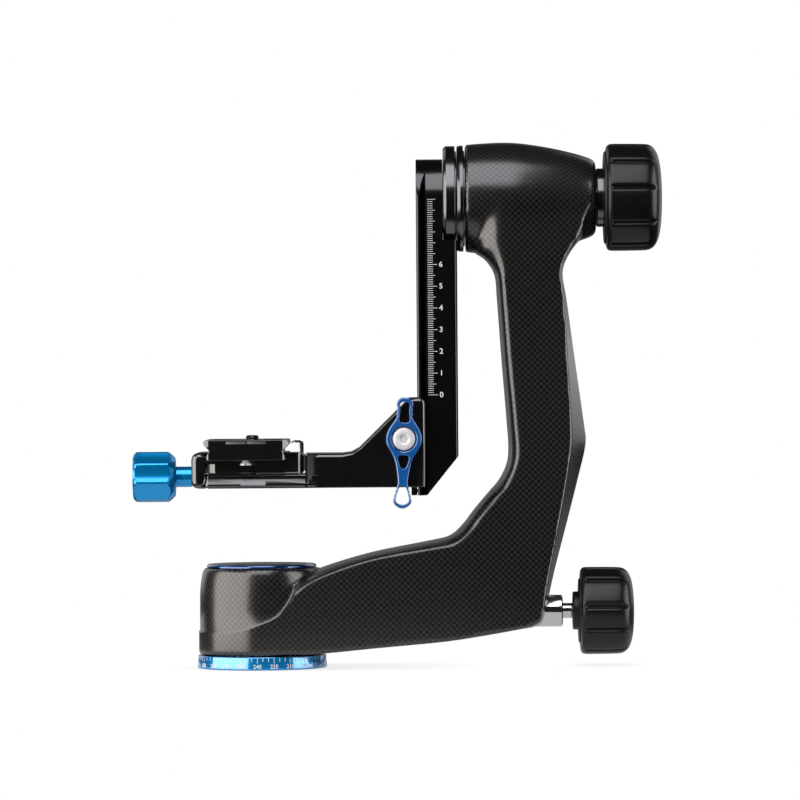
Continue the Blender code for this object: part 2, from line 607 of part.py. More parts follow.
def ball_bearing(prefix, balls_name, bore, low, inner_parent, outer_parent, balls_parent):
    """Inner ring, outer ring and caged balls about Z, the bore and the lower face given."""
    inner_wall = bore + RACE_WALL
    outer_wall = inner_wall + RACE_GAP
    pitch = (inner_wall + outer_wall) / 2
    reach = BALL_RADIUS + BALL_PLAY
    inner = turned(f"{prefix}_inner_race", race_profile(bore, inner_wall, low, RACE_WIDTH, pitch - reach, True),
                   STEEL, HIDDEN)
    outer = turned(f"{prefix}_outer_race",
                   race_profile(outer_wall, outer_wall + RACE_WALL, low, RACE_WIDTH, pitch + reach, False),
                   STEEL, HIDDEN)
    middle = low + RACE_WIDTH / 2
    balls = tube(balls_name, pitch - CAGE_THICKNESS / 2, pitch + CAGE_THICKNESS / 2, middle - CAGE_WIDTH / 2,
                 middle + CAGE_WIDTH / 2, facets=HIDDEN)
    for x, y in around(BALL_COUNT, pitch):
        mesh_data = bmesh.new()
        bmesh.ops.create_icosphere(mesh_data, subdivisions=1, radius=BALL_RADIUS)
        shape(balls, place(solid("ball", mesh_data), None, (x, y, middle)), "UNION")
    paint(balls, STEEL)
    place(inner, inner_parent)
    place(outer, outer_parent)
    place(balls, balls_parent)


def make_base(base):
    """Disc, thread bush, screws, spindle, seal ring and nut: all that the tripod holds still."""
    insert_bore = INSERT_RADIUS + FIT
    screw_bore = BASE_SCREW_RADIUS + FIT
    head_bore = BASE_SCREW_HEAD_RADIUS + FIT
    head_top = FIT + BASE_SCREW_HEAD_HEIGHT
    bite_top = FLANGE_BASE + BASE_SCREW_BITE
    flange = PAN_BORE_RADIUS - SPINDLE_FLANGE_PLAY
    step = SPINDLE_RADIUS + SPINDLE_STEP_LEDGE
    disc = turned("base_disc", [(insert_bore, 0), (DISC_RADIUS, 0), (DISC_TOP_RADIUS, DISC_HEIGHT),
                                (insert_bore, DISC_HEIGHT)])
    spindle = turned("pan_spindle", [
        (insert_bore, FLANGE_BASE), (flange, FLANGE_BASE), (flange, STEP_BASE), (step, STEP_BASE),
        (step, RACE_BASE - FIT),
        (SPINDLE_RADIUS, RACE_BASE - FIT), (SPINDLE_RADIUS, NUT_BASE + NUT_HEIGHT - FIT),
        (insert_bore, NUT_BASE + NUT_HEIGHT - FIT)], None, HIDDEN)
    for number, (x, y) in enumerate(around(BASE_SCREW_COUNT, BASE_SCREW_PITCH_RADIUS, 90 * DEG), 1):
        hole = [(0, -OVERRUN), (head_bore, -OVERRUN), (head_bore, head_top + FIT), (screw_bore, head_top + FIT),
                (screw_bore, bite_top + FIT), (0, bite_top + FIT)]
        shape(disc, place(turned("hole", hole, facets=TINY), None, (x, y, 0)))
        shape(spindle, place(pin("hole", screw_bore, 0, bite_top + FIT, facets=TINY), None, (x, y, 0)))
        screw = [(0, FIT), (BASE_SCREW_HEAD_RADIUS, FIT), (BASE_SCREW_HEAD_RADIUS, head_top),
                 (BASE_SCREW_RADIUS, head_top), (BASE_SCREW_RADIUS, bite_top), (0, bite_top)]
        place(turned(f"base_screw_{number}", screw, STEEL, TINY), base, (x, y, 0))
    paint(disc, BLUE_ANODISED)
    paint(spindle, STEEL)
    place(disc, base)
    place(spindle, base)
    place(tube("tripod_thread_insert", THREAD_RADIUS, INSERT_RADIUS, 0, INSERT_HEIGHT, STEEL, COARSE), base)
    place(tube("pan_seal_ring", SEAL_INNER_RADIUS, SEAL_INNER_RADIUS + SEAL_WIDTH, FLANGE_BASE,
               FLANGE_BASE + SEAL_HEIGHT, RUBBER, FINE), base)
    place(tube("pan_retaining_nut", PAN_RACE_BORE, PAN_RACE_BORE + NUT_WALL, NUT_BASE, NUT_BASE + NUT_HEIGHT - FIT,
               STEEL, COARSE), base)


def arm_section(place_share, wall=0.0):
    """One closed ring of the arm's skin at a fractional section number, drawn in by the wall."""
    rise = TILT_HEIGHT - ARM_FOOT
    rows = [(*crest, *face_in, *face_out, *back, spread, taper)
            for crest, face_in, face_out, back, spread, taper in ARM_SECTION_SHARES]
    row = smooth_row(rows, place_share)
    points = [(x * ARM_REACH, ARM_FOOT + z * rise) for x, z in zip(row[0:8:2], row[1:8:2])]
    (crest_x, crest_z), face_in, face_out, (back_x, back_z) = points
    span = math.hypot(back_x - crest_x, back_z - crest_z)
    along_x = (back_x - crest_x) / span * wall
    along_z = (back_z - crest_z) / span * wall
    crest = (crest_x + along_x, crest_z + along_z)
    back = (back_x - along_x, back_z - along_z)
    face_in = (face_in[0] + along_x / 2, face_in[1] + along_z / 2)
    face_out = (face_out[0] - along_x / 2, face_out[1] - along_z / 2)
    spread, taper = row[8:]
    half_in = FLANGE_RADIUS + (HUB_RADIUS - FLANGE_RADIUS) * spread - wall
    half_out = (half_in + wall) * taper - wall
    inner_flat = INNER_CREST - wall / 2
    outer_flat = OUTER_CREST - wall / 2
    half = [(*crest, inner_flat)]
    for turn in (35 * DEG, 62 * DEG):
        share = 1 - math.cos(turn)
        half.append((crest[0] + (face_in[0] - crest[0]) * share, crest[1] + (face_in[1] - crest[1]) * share,
                     inner_flat + (half_in - inner_flat) * math.sin(turn)))
    half += [(*face_in, half_in), (*face_out, half_out), (*back, outer_flat)]
    front = [(x, -y, z) for x, z, y in half]
    rear = [(x, y, z) for x, z, y in reversed(half)]
    return front + rear


def arm_rings(first, last, per_section, wall=0.0):
    count = round((last - first) * per_section)
    return [arm_section(first + (last - first) * step / count, wall) for step in range(count + 1)]


def arm_back_at(height):
    """How far back the arm's outer crest stands at a height near the pan lock."""
    crests = [(row[3][0] * ARM_REACH, ARM_FOOT + row[3][1] * (TILT_HEIGHT - ARM_FOOT))
              for row in ARM_SECTION_SHARES[7:12]]
    for (low_x, low_z), (high_x, high_z) in zip(crests, crests[1:]):
        if height <= high_z:
            return low_x + (high_x - low_x) * (height - low_z) / (high_z - low_z)
    return crests[-1][0]


GUIDE_END = arm_back_at(PAN_LOCK_HEIGHT) + GUIDE_STANDOUT
GUIDE_START = GUIDE_END - GUIDE_LENGTH
PAN_COLLAR_START = GUIDE_END + ROD_SHOWN
PAN_GRIP_START = PAN_COLLAR_START + PAN_COLLAR_LENGTH - FIT
SHOE_START = SPINDLE_RADIUS + FIT
SHOE_END = SHOE_START + SHOE_LENGTH


def make_arm_shell(arm):
    """The hollow carbon arm: pan barrel, bent beam and tilt hub in one skin, clear of what turns beside it."""
    shell = lofted("arm_shell", arm_rings(0, len(ARM_SECTION_SHARES) - 1, RINGS_PER_SECTION))
    barrel = [
        (0, ARM_FOOT), (FLANGE_RADIUS - EDGE_ROUND, ARM_FOOT), (FLANGE_RADIUS, ARM_FOOT + EDGE_ROUND),
        (FLANGE_RADIUS, FLANGE_TOP), (BARREL_RADIUS, FLANGE_TOP + EDGE_ROUND / 2),
        (BARREL_RADIUS, BARREL_SHOULDER),
    ]
    drop = BARREL_RADIUS - BARREL_TOP_RADIUS
    for turn in (35 * DEG, 65 * DEG, 90 * DEG):
        barrel.append((BARREL_RADIUS - drop * (1 - math.cos(turn)),
                       BARREL_SHOULDER + (BARREL_TOP - BARREL_SHOULDER) * math.sin(turn)))
    shape(shell, turned("barrel", barrel + [(0, BARREL_TOP)], facets=FINE), "UNION")
    hub = [(HUB_RADIUS * radius, HUB_START + HUB_LENGTH * along) for along, radius in HUB_SHARES]
    hub = [(0, HUB_START), *hub, (0, HUB_END)]
    shape(shell, place(turned("hub", hub, facets=FINE), None, (0, 0, TILT_HEIGHT), ALONG_X), "UNION")
    rail_room = TILT_HEIGHT - RAIL_FOOT_HEIGHT + FIT
    ring_room = FRONT_RING_RADIUS + FIT
    swing_room = [(0, RAIL_LEFT - FIT), (rail_room, RAIL_LEFT - FIT), (rail_room, RAIL_RIGHT + FIT),
                  (ring_room, RAIL_RIGHT + FIT), (ring_room, FRONT_RING_END), (0, FRONT_RING_END)]
    shape(shell, place(turned("swing_room", swing_room, facets=MEDIUM), None, (0, 0, TILT_HEIGHT), ALONG_X))
    knob_room = pin("knob_room", TILT_GRIP_RADIUS + FIT, COLLAR_START, TILT_GRIP_START + TILT_GRIP_LENGTH)
    shape(shell, place(knob_room, None, (0, 0, TILT_HEIGHT), ALONG_X))
    shape(shell, pin("trim_room", TRIM_RADIUS + FIT, BARREL_TOP + FIT, BARREL_TOP + FIT + TRIM_HEIGHT + OVERRUN))
    shape(shell, lofted("cavity", arm_rings(CAVITY_FIRST_SECTION, CAVITY_LAST_SECTION, 1, CARBON_WALL)))
    rod_bore = [(0, SPINDLE_RADIUS), (SHOE_RADIUS + FIT, SPINDLE_RADIUS), (SHOE_RADIUS + FIT, GUIDE_START),
                (GUIDE_RADIUS + FIT, GUIDE_START), (GUIDE_RADIUS + FIT, GUIDE_END), (0, GUIDE_END)]
    shape(shell, place(turned("bore", rod_bore, facets=COARSE), None, (0, 0, PAN_LOCK_HEIGHT), ALONG_X))
    shape(shell, pin("bore", PAN_BORE_RADIUS, ARM_FOOT - OVERRUN, BARREL_TOP + OVERRUN, facets=FINE))
    tilt_bore = [(0, HUB_START - OVERRUN), (HUB_BORE_RADIUS, HUB_START - OVERRUN), (HUB_BORE_RADIUS, HUB_STEP),
                 (HUB_REAR_BORE_RADIUS, HUB_STEP), (HUB_REAR_BORE_RADIUS, HUB_END + OVERRUN),
                 (0, HUB_END + OVERRUN)]
    shape(shell, place(turned("bore", tilt_bore, facets=FINE), None, (0, 0, TILT_HEIGHT), ALONG_X))
    paint(shell, CARBON)
    place(shell, arm)


def make_pan_housing(arm):
    """What the arm holds about the pan axis: sleeve, bush, blue ring and cap."""
    lower = STEP_BASE + FIT
    sleeve = turned("pan_housing_sleeve", [
        (PAN_SEAT_RADIUS, lower), (PAN_SLEEVE_RADIUS, lower), (PAN_SLEEVE_RADIUS, BARREL_TOP),
        (PAN_SEAT_RADIUS, BARREL_TOP), (PAN_SEAT_RADIUS, BUSH_BASE - FIT), (PAN_SHOULDER_RADIUS, BUSH_BASE - FIT),
        (PAN_SHOULDER_RADIUS, RACE_TOP + FIT), (PAN_SEAT_RADIUS, RACE_TOP + FIT)], None, MEDIUM)
    shape(sleeve, place(pin("hole", SHOE_RADIUS + FIT, SPINDLE_RADIUS, DISC_RADIUS), None,
                        (0, 0, PAN_LOCK_HEIGHT), ALONG_X))
    paint(sleeve, ALUMINIUM)
    place(sleeve, arm)
    place(tube("pan_top_bush", PAN_RACE_BORE, PAN_SEAT_RADIUS - FIT, BUSH_BASE, BUSH_TOP, BRONZE, HIDDEN),
          arm)
    trim_base = BARREL_TOP + FIT
    trim_top = trim_base + TRIM_HEIGHT
    place(turned("pan_trim_ring", [
        (TRIM_RADIUS - TRIM_WALL, trim_base), (TRIM_RADIUS, trim_base), (TRIM_RADIUS - TRIM_HEIGHT / 4, trim_top),
        (TRIM_RADIUS - TRIM_WALL, trim_top)], BLUE_ANODISED, FINE), arm)
    cap_radius = TRIM_RADIUS - TRIM_WALL - FIT
    place(turned("pan_top_cap", [(0, trim_base), (cap_radius, trim_base), (cap_radius, trim_top),
                                 (cap_radius / 2, trim_base + CAP_HEIGHT), (0, trim_base + CAP_HEIGHT)],
                 BLACK_ANODISED, MEDIUM), arm)


def make_tilt_housing(tilt_line):
    """What the arm holds about the tilt axis: sleeve, bush, front ring and rear collar."""
    rear_radius = HUB_REAR_BORE_RADIUS - FIT
    shoulder = TILT_SEAT_RADIUS - TILT_SHOULDER_LIP
    place(turned("tilt_housing_sleeve", [
        (TILT_SEAT_RADIUS, HUB_START), (TILT_SLEEVE_RADIUS, HUB_START), (TILT_SLEEVE_RADIUS, HUB_STEP - FIT),
        (rear_radius, HUB_STEP - FIT), (rear_radius, HUB_END), (REAR_BUSH_RADIUS + FIT, HUB_END),
        (REAR_BUSH_RADIUS + FIT, HUB_STEP - TILT_SLEEVE_STEP), (shoulder, HUB_STEP - TILT_SLEEVE_STEP),
        (shoulder, TILT_RACE_END + FIT), (TILT_SEAT_RADIUS, TILT_RACE_END + FIT)], ALUMINIUM, MEDIUM), tilt_line)
    place(tube("tilt_rear_bush", SHAFT_REAR_RADIUS + FIT, REAR_BUSH_RADIUS, HUB_END - REAR_BUSH_LENGTH, HUB_END,
               BRONZE, COARSE), tilt_line)
    groove = FRONT_RING_RADIUS - RING_GROOVE_DEPTH
    place(turned("tilt_front_ring", [
        (FRONT_RING_BORE_RADIUS, FRONT_RING_START), (FRONT_RING_RADIUS, FRONT_RING_START),
        (FRONT_RING_RADIUS, RING_REAR_GROOVE), (groove, RING_REAR_GROOVE), (groove, FRONT_RING_END),
        (FRONT_RING_BORE_RADIUS, FRONT_RING_END)], BLACK_ANODISED, FINE), tilt_line)
    place(tube("tilt_rear_collar", SHAFT_REAR_RADIUS + FIT, COLLAR_RADIUS, COLLAR_START, COLLAR_END,
               BLACK_ANODISED, MEDIUM), tilt_line)


def make_tilt_shaft(tilt_line, swing):
    """Shaft, flange disc and the screws that hold the rail to it."""
    thread_start = COLLAR_END - FIT
    thread_end = TILT_CORE_START + TILT_CORE_LENGTH - SHAFT_TIP_GAP
    step_end = TILT_RACE_START - FIT
    place(turned("tilt_shaft", [
        (0, HUB_FLANGE_START + FIT), (SHAFT_RADIUS, HUB_FLANGE_START + FIT), (SHAFT_RADIUS, FLANGE_SPIGOT_END),
        (SHAFT_STEP_RADIUS, FLANGE_SPIGOT_END + FIT), (SHAFT_STEP_RADIUS, step_end), (SHAFT_RADIUS, step_end),
        (SHAFT_RADIUS, HUB_STEP - TILT_SLEEVE_STEP - FIT), (SHAFT_REAR_RADIUS, HUB_STEP - TILT_SLEEVE_STEP - FIT),
        (SHAFT_REAR_RADIUS, thread_start), (SHAFT_THREAD_RADIUS, thread_start),
        (SHAFT_THREAD_RADIUS, thread_end), (0, thread_end)],
        STEEL, HIDDEN), tilt_line)
    spigot = HUB_FLANGE_RADIUS - RING_GROOVE_DEPTH
    flange = turned("hub_flange", [
        (SHAFT_RADIUS + FIT, HUB_FLANGE_START), (HUB_FLANGE_RADIUS - HUB_FLANGE_CHAMFER, HUB_FLANGE_START),
        (HUB_FLANGE_RADIUS, HUB_FLANGE_START + HUB_FLANGE_CHAMFER), (HUB_FLANGE_RADIUS, HUB_FLANGE_END),
        (spigot, HUB_FLANGE_END), (spigot, FLANGE_SPIGOT_END), (SHAFT_RADIUS + FIT, FLANGE_SPIGOT_END)],
        None, FINE)
    head_start = RAIL_LEFT + FIT
    head_end = head_start + HUB_SCREW_HEAD_HEIGHT
    bite_end = HUB_FLANGE_START + HUB_SCREW_BITE
    rail = make_rail(swing)
    for number, (x, y) in enumerate(around(HUB_SCREW_COUNT, HUB_SCREW_PITCH_RADIUS), 1):
        screw = [(0, head_start), (HUB_SCREW_HEAD_RADIUS, head_start), (HUB_SCREW_HEAD_RADIUS, head_end),
                 (HUB_SCREW_RADIUS, head_end), (HUB_SCREW_RADIUS, bite_end), (0, bite_end)]
        place(turned(f"hub_screw_{number}", screw, STEEL, TINY), tilt_line, (x, y, 0))
        bore = [(0, RAIL_LEFT - OVERRUN), (HUB_SCREW_HEAD_RADIUS + FIT, RAIL_LEFT - OVERRUN),
                (HUB_SCREW_HEAD_RADIUS + FIT, head_end + FIT), (HUB_SCREW_RADIUS + FIT, head_end + FIT),
                (HUB_SCREW_RADIUS + FIT, bite_end + FIT), (0, bite_end + FIT)]
        shape(flange, place(turned("hole", bore, facets=TINY), None, (x, y, 0)))
        shape(rail, place(turned("hole", bore, facets=TINY), None, (0, y, -x), ALONG_X))
    paint(flange, BLACK_ANODISED)
    paint(rail, BLACK_ANODISED)
    place(flange, tilt_line)
    place(rail, swing)


def rail_section():
    """The rail seen from above: a rim with slanted flanks, a groove on each side, and the body behind."""
    groove_y = RAIL_HALF_WIDTH - RAIL_GROOVE_DEPTH
    rim = RAIL_LEFT + RAIL_RIM
    slant = rim + RAIL_GROOVE_SLANT
    shoulder = slant + RAIL_GROOVE_FLAT
    half = [(RAIL_LEFT, RAIL_HALF_WIDTH), (rim, RAIL_HALF_WIDTH), (slant, groove_y), (shoulder, groove_y),
            (shoulder, RAIL_HALF_WIDTH), (RAIL_RIGHT, RAIL_HALF_WIDTH)]
    return half + [(x, -y) for x, y in reversed(half)]


def make_rail(swing):
    """The hanging rail and the stop at its foot, drawn about the tilt axis."""
    foot = RAIL_FOOT_HEIGHT - TILT_HEIGHT
    top = RAIL_HALF_WIDTH
    plate_right = RAIL_LEFT + RAIL_PLATE
    rail = prism("swing_rail", rail_section(), foot, top)
    arch = [(y, z) for y, z in around(2 * RAIL_ARCH_FACETS, RAIL_HALF_WIDTH)[:RAIL_ARCH_FACETS + 1]]
    face = [*arch, (-RAIL_HALF_WIDTH, foot - OVERRUN), (RAIL_HALF_WIDTH, foot - OVERRUN)]
    rings = [[(x, y, z) for y, z in face] for x in (RAIL_LEFT - OVERRUN, RAIL_RIGHT + OVERRUN)]
    shape(rail, lofted("face", rings), "INTERSECT")
    side = [
        (RAIL_LEFT - OVERRUN, top + OVERRUN), (plate_right, top + OVERRUN), (plate_right, -RAIL_STEP_DROP),
        (RAIL_RIGHT + OVERRUN, -RAIL_STEP_DROP), (RAIL_RIGHT + OVERRUN, foot + RAIL_CHAMFER_HEIGHT + OVERRUN),
        (RAIL_RIGHT, foot + RAIL_CHAMFER_HEIGHT), (RAIL_RIGHT - RAIL_CHAMFER_WIDTH, foot),
        (RAIL_LEFT - OVERRUN, foot),
    ]
    shape(rail, side_prism("side", side, RAIL_HALF_WIDTH + OVERRUN), "INTERSECT")
    shape(rail, place(pin("seat", HUB_FLANGE_RADIUS + FIT, plate_right, RAIL_RIGHT + OVERRUN, facets=FINE), None,
                      (0, 0, 0), ALONG_X))
    stop_right = RAIL_LEFT - FIT
    stop_left = stop_right - STOP_THICKNESS
    stop = block("rail_stop", (stop_left, -STOP_HALF_WIDTH, foot),
                 (stop_right, STOP_HALF_WIDTH, foot + STOP_HEIGHT))
    head_end = stop_left + STOP_SCREW_HEAD_HEIGHT
    bite_end = RAIL_LEFT + STOP_SCREW_BITE
    spot = (0, 0, foot + STOP_HEIGHT / 2)
    screw = [(0, stop_left), (STOP_SCREW_HEAD_RADIUS, stop_left), (STOP_SCREW_HEAD_RADIUS, head_end),
             (STOP_SCREW_RADIUS, head_end), (STOP_SCREW_RADIUS, bite_end), (0, bite_end)]
    place(turned("rail_stop_screw", screw, STEEL, TINY), swing, spot, ALONG_X)
    head_bore = STOP_SCREW_HEAD_RADIUS + FIT
    bore = [(0, stop_left - OVERRUN), (head_bore, stop_left - OVERRUN), (head_bore, head_end + FIT),
            (STOP_SCREW_RADIUS + FIT, head_end + FIT), (STOP_SCREW_RADIUS + FIT, bite_end + FIT),
            (0, bite_end + FIT)]
    shape(stop, place(turned("hole", bore, facets=TINY), None, spot, ALONG_X))
    shape(rail, place(pin("hole", STOP_SCREW_RADIUS + FIT, RAIL_LEFT - OVERRUN, bite_end + FIT, facets=TINY),
                      None, spot, ALONG_X))
    paint(stop, BLACK_ANODISED)
    place(stop, swing)
    return rail


def grip_ring(radius, height, groove, start, first_panel, second_panel):
    """One ring of a rubber grip, with its narrow grooves."""
    reach = GRIP_GROOVE_HALF_WIDTH / radius
    points = []
    angle = start
    for panel in range(GRIP_PANELS):
        span = first_panel if panel % 2 == 0 else second_panel
        for turn, drop in ((-reach, 0), (0, groove), (reach, 0), (span / 2, 0)):
            depth = radius - drop
            points.append((depth * math.cos(angle + turn), depth * math.sin(angle + turn), height))
        angle += span
    return points


def make_grip(name, radius, length, bore, depth, recess, turns, parent, start):
    """A domed rubber grip with a blind bore for the knob's core and a recess for its plate."""
    first_turn, first_panel, second_panel = turns
    rings = []
    for along, wide, groove in GRIP_SHARES:
        groove_depth = groove * GRIP_GROOVE_DEPTH
        rings.append(grip_ring(radius * wide, length * along, groove_depth, first_turn, first_panel, second_panel))
    grip = lofted(name, rings)
    hollow = [(0, -OVERRUN), (recess, -OVERRUN), (recess, GRIP_LAP + FIT), (bore, GRIP_LAP + FIT), (bore, depth),
              (0, depth)]
    shape(grip, turned("hollow", hollow, facets=MEDIUM))
    paint(grip, RUBBER)
    place(grip, parent, (0, 0, start))


def make_pan_lock(lock_line):
    """Guide bush, shoe, rod and knob of the pan lock, along the arm's foot."""
    rod_bore = ROD_RADIUS + FIT
    place(tube("pan_lock_guide", rod_bore, GUIDE_RADIUS, GUIDE_START, GUIDE_END, CHROME, MEDIUM), lock_line)
    place(pin("pan_brake_shoe", SHOE_RADIUS, SHOE_START, SHOE_END, BRONZE), lock_line)
    rod_end = PAN_COLLAR_START + ROD_BITE
    place(pin("pan_lock_rod", ROD_RADIUS, SHOE_END + FIT, rod_end, CHROME), lock_line)
    plate_end = PAN_GRIP_START + GRIP_LAP - FIT
    core_start = PAN_GRIP_START + GRIP_LAP
    core_end = core_start + PAN_CORE_LENGTH
    place(turned("pan_lock_core", [
        (rod_bore, PAN_COLLAR_START), (PAN_COLLAR_RADIUS, PAN_COLLAR_START), (PAN_COLLAR_RADIUS, core_start),
        (PAN_CORE_RADIUS, core_start), (PAN_CORE_RADIUS, core_end), (rod_bore, core_end)], BLACK_PLASTIC,
        COARSE), lock_line)
    place(tube("pan_lock_back_plate", PAN_COLLAR_RADIUS + FIT, PAN_PLATE_RADIUS, plate_end - PAN_PLATE_THICKNESS,
               plate_end, BLACK_PLASTIC), lock_line)
    make_grip("pan_lock_grip", PAN_GRIP_RADIUS, PAN_GRIP_LENGTH, PAN_CORE_RADIUS + FIT,
              core_end + FIT - PAN_GRIP_START, PAN_PLATE_RADIUS + FIT, (PAN_GRIP_TURN, NARROW_PANEL, WIDE_PANEL),
              lock_line, PAN_GRIP_START)


def make_tilt_lock(tilt_line):
    """Washer and knob on the tilt shaft's threaded end."""
    thread_bore = SHAFT_THREAD_RADIUS + FIT
    place(tube("tilt_thrust_washer", thread_bore, WASHER_RADIUS, WASHER_START, WASHER_START + WASHER_THICKNESS,
               STEEL, MEDIUM), tilt_line)
    core_end = TILT_CORE_START + TILT_CORE_LENGTH
    place(tube("tilt_lock_core", thread_bore, TILT_CORE_RADIUS, TILT_CORE_START, core_end, BLACK_PLASTIC,
               COARSE), tilt_line)
    place(tube("tilt_lock_back_plate", COLLAR_RADIUS + FIT, TILT_PLATE_RADIUS, TILT_PLATE_START,
               TILT_PLATE_START + TILT_PLATE_THICKNESS, BLACK_PLASTIC), tilt_line)
    make_grip("tilt_lock_grip", TILT_GRIP_RADIUS, TILT_GRIP_LENGTH, TILT_CORE_RADIUS + FIT,
              core_end + FIT - TILT_GRIP_START, TILT_PLATE_RADIUS + FIT, (TILT_GRIP_TURN, WIDE_PANEL, NARROW_PANEL),
              tilt_line, TILT_GRIP_START)


def bracket_side():
    """The bracket seen from the front: platform deck, neck, gusset and block."""
    neck_top = PLATFORM_BOTTOM + NECK_HEIGHT
    block_top = PLATFORM_BOTTOM + BRACKET_HEIGHT
    gusset_x = BRACKET_RIGHT - BLOCK_TOP_LENGTH
    gusset_drop = block_top - neck_top - FILLET_RUN / 3
    slope_end = gusset_x - GUSSET_RUN
    return [
        (CLAMP_LEFT_X, PLATFORM_BOTTOM), (BRACKET_RIGHT, PLATFORM_BOTTOM), (BRACKET_RIGHT, block_top),
        (gusset_x, block_top), (slope_end, block_top - gusset_drop),
        (slope_end - FILLET_RUN / 2, neck_top + FILLET_RUN / 12), (slope_end - FILLET_RUN, neck_top),
        (CLAMP_RIGHT_X + FIT, neck_top), (CLAMP_RIGHT_X + FIT, DECK_TOP), (CLAMP_LEFT_X, DECK_TOP),
    ]


def bracket_plan():
    """The bracket seen from above: deck as wide as the clamp, narrower neck, block round the rail."""
    fillet_x = CLAMP_RIGHT_X + FIT
    block_x = BRACKET_RIGHT - BLOCK_TOP_LENGTH - GUSSET_RUN
    fillet = []
    for turn in (0, 30 * DEG, 60 * DEG, 90 * DEG):
        fillet.append((fillet_x + CLAMP_FILLET * math.sin(turn),
                       CLAMP_HALF_LENGTH - (CLAMP_HALF_LENGTH - NECK_HALF_WIDTH) * (1 - math.cos(turn))))
    half = [(CLAMP_LEFT_X, CLAMP_HALF_LENGTH), *fillet, (block_x - CLAMP_FILLET, NECK_HALF_WIDTH),
            (block_x, BRACKET_HALF_WIDTH), (BRACKET_RIGHT, BRACKET_HALF_WIDTH)]
    return half + [(x, -y) for x, y in reversed(half)]


def make_bracket(platform):
    """The bracket that slides on the rail's dovetail and carries the clamp's deck."""
    bracket = side_prism("platform_bracket", bracket_side(), BRACKET_HALF_WIDTH + CLAMP_HALF_LENGTH)
    bottom = PLATFORM_BOTTOM - OVERRUN
    above = PLATFORM_BOTTOM + BRACKET_HEIGHT + OVERRUN
    shape(bracket, prism("plan", bracket_plan(), bottom, above), "INTERSECT")
    lip_start = RAIL_LEFT + RAIL_RIM + LIP_GAP
    slope = RAIL_GROOVE_DEPTH / RAIL_GROOVE_SLANT
    lip_tip = RAIL_HALF_WIDTH + LIP_GAP - (BRACKET_RIGHT - lip_start) * slope * LIP_TIP_SHARE
    half = [(RAIL_LEFT - FIT, RAIL_HALF_WIDTH + LIP_GAP), (lip_start, RAIL_HALF_WIDTH + LIP_GAP),
            (BRACKET_RIGHT, lip_tip), (BRACKET_RIGHT + OVERRUN, lip_tip)]
    channel = half + [(x, -y) for x, y in reversed(half)]
    shape(bracket, prism("channel", channel, bottom, above))
    trough_half = CLAMP_LUG_HALF_WIDTH + TROUGH_PLAY
    shape(bracket, block("trough", (CLAMP_LEFT_X - OVERRUN, -trough_half, TROUGH_FLOOR),
                         (CLAMP_LUG_END + TROUGH_ROOM, trough_half, DECK_TOP + OVERRUN)))
    pocket_x = RAIL_LEFT - FIT - WEDGE_LENGTH - WEDGE_ROOM
    pocket = block("pocket", (pocket_x, -WEDGE_HALF_WIDTH - FIT, LEVER_Z - WEDGE_HALF_HEIGHT - FIT),
                   (RAIL_LEFT, WEDGE_HALF_WIDTH + FIT, LEVER_Z + WEDGE_HALF_HEIGHT + FIT))
    shape(bracket, pocket)
    shape(bracket, place(pin("hole", LEVER_SCREW_RADIUS + FIT, 0, BRACKET_HALF_WIDTH + OVERRUN), None,
                         (LEVER_X, 0, LEVER_Z), TOWARDS_FRONT))
    for x, y in clamp_bolt_places():
        shape(bracket, place(turned("hole", clamp_bolt_profile(FIT), facets=TINY), None, (x, y, 0)))
    paint(bracket, BLACK_ANODISED)
    place(bracket, platform)


def clamp_bolt_places():
    return [(PLATE_CENTRE, side * CLAMP_BOLT_SPACING / 2) for side in (-1, 1)]


def clamp_bolt_profile(play):
    """A bolt from under the deck, or its hole when there is play."""
    low = PLATFORM_BOTTOM - OVERRUN if play else PLATFORM_BOTTOM + FIT
    head_top = PLATFORM_BOTTOM + FIT + CLAMP_BOLT_HEAD_HEIGHT + play
    tip = CLAMP_BASE + CLAMP_BOLT_BITE + play
    head = CLAMP_BOLT_HEAD_RADIUS + play
    shank = CLAMP_BOLT_RADIUS + play
    return [(0, low), (head, low), (head, head_top), (shank, head_top), (shank, tip), (0, tip)]


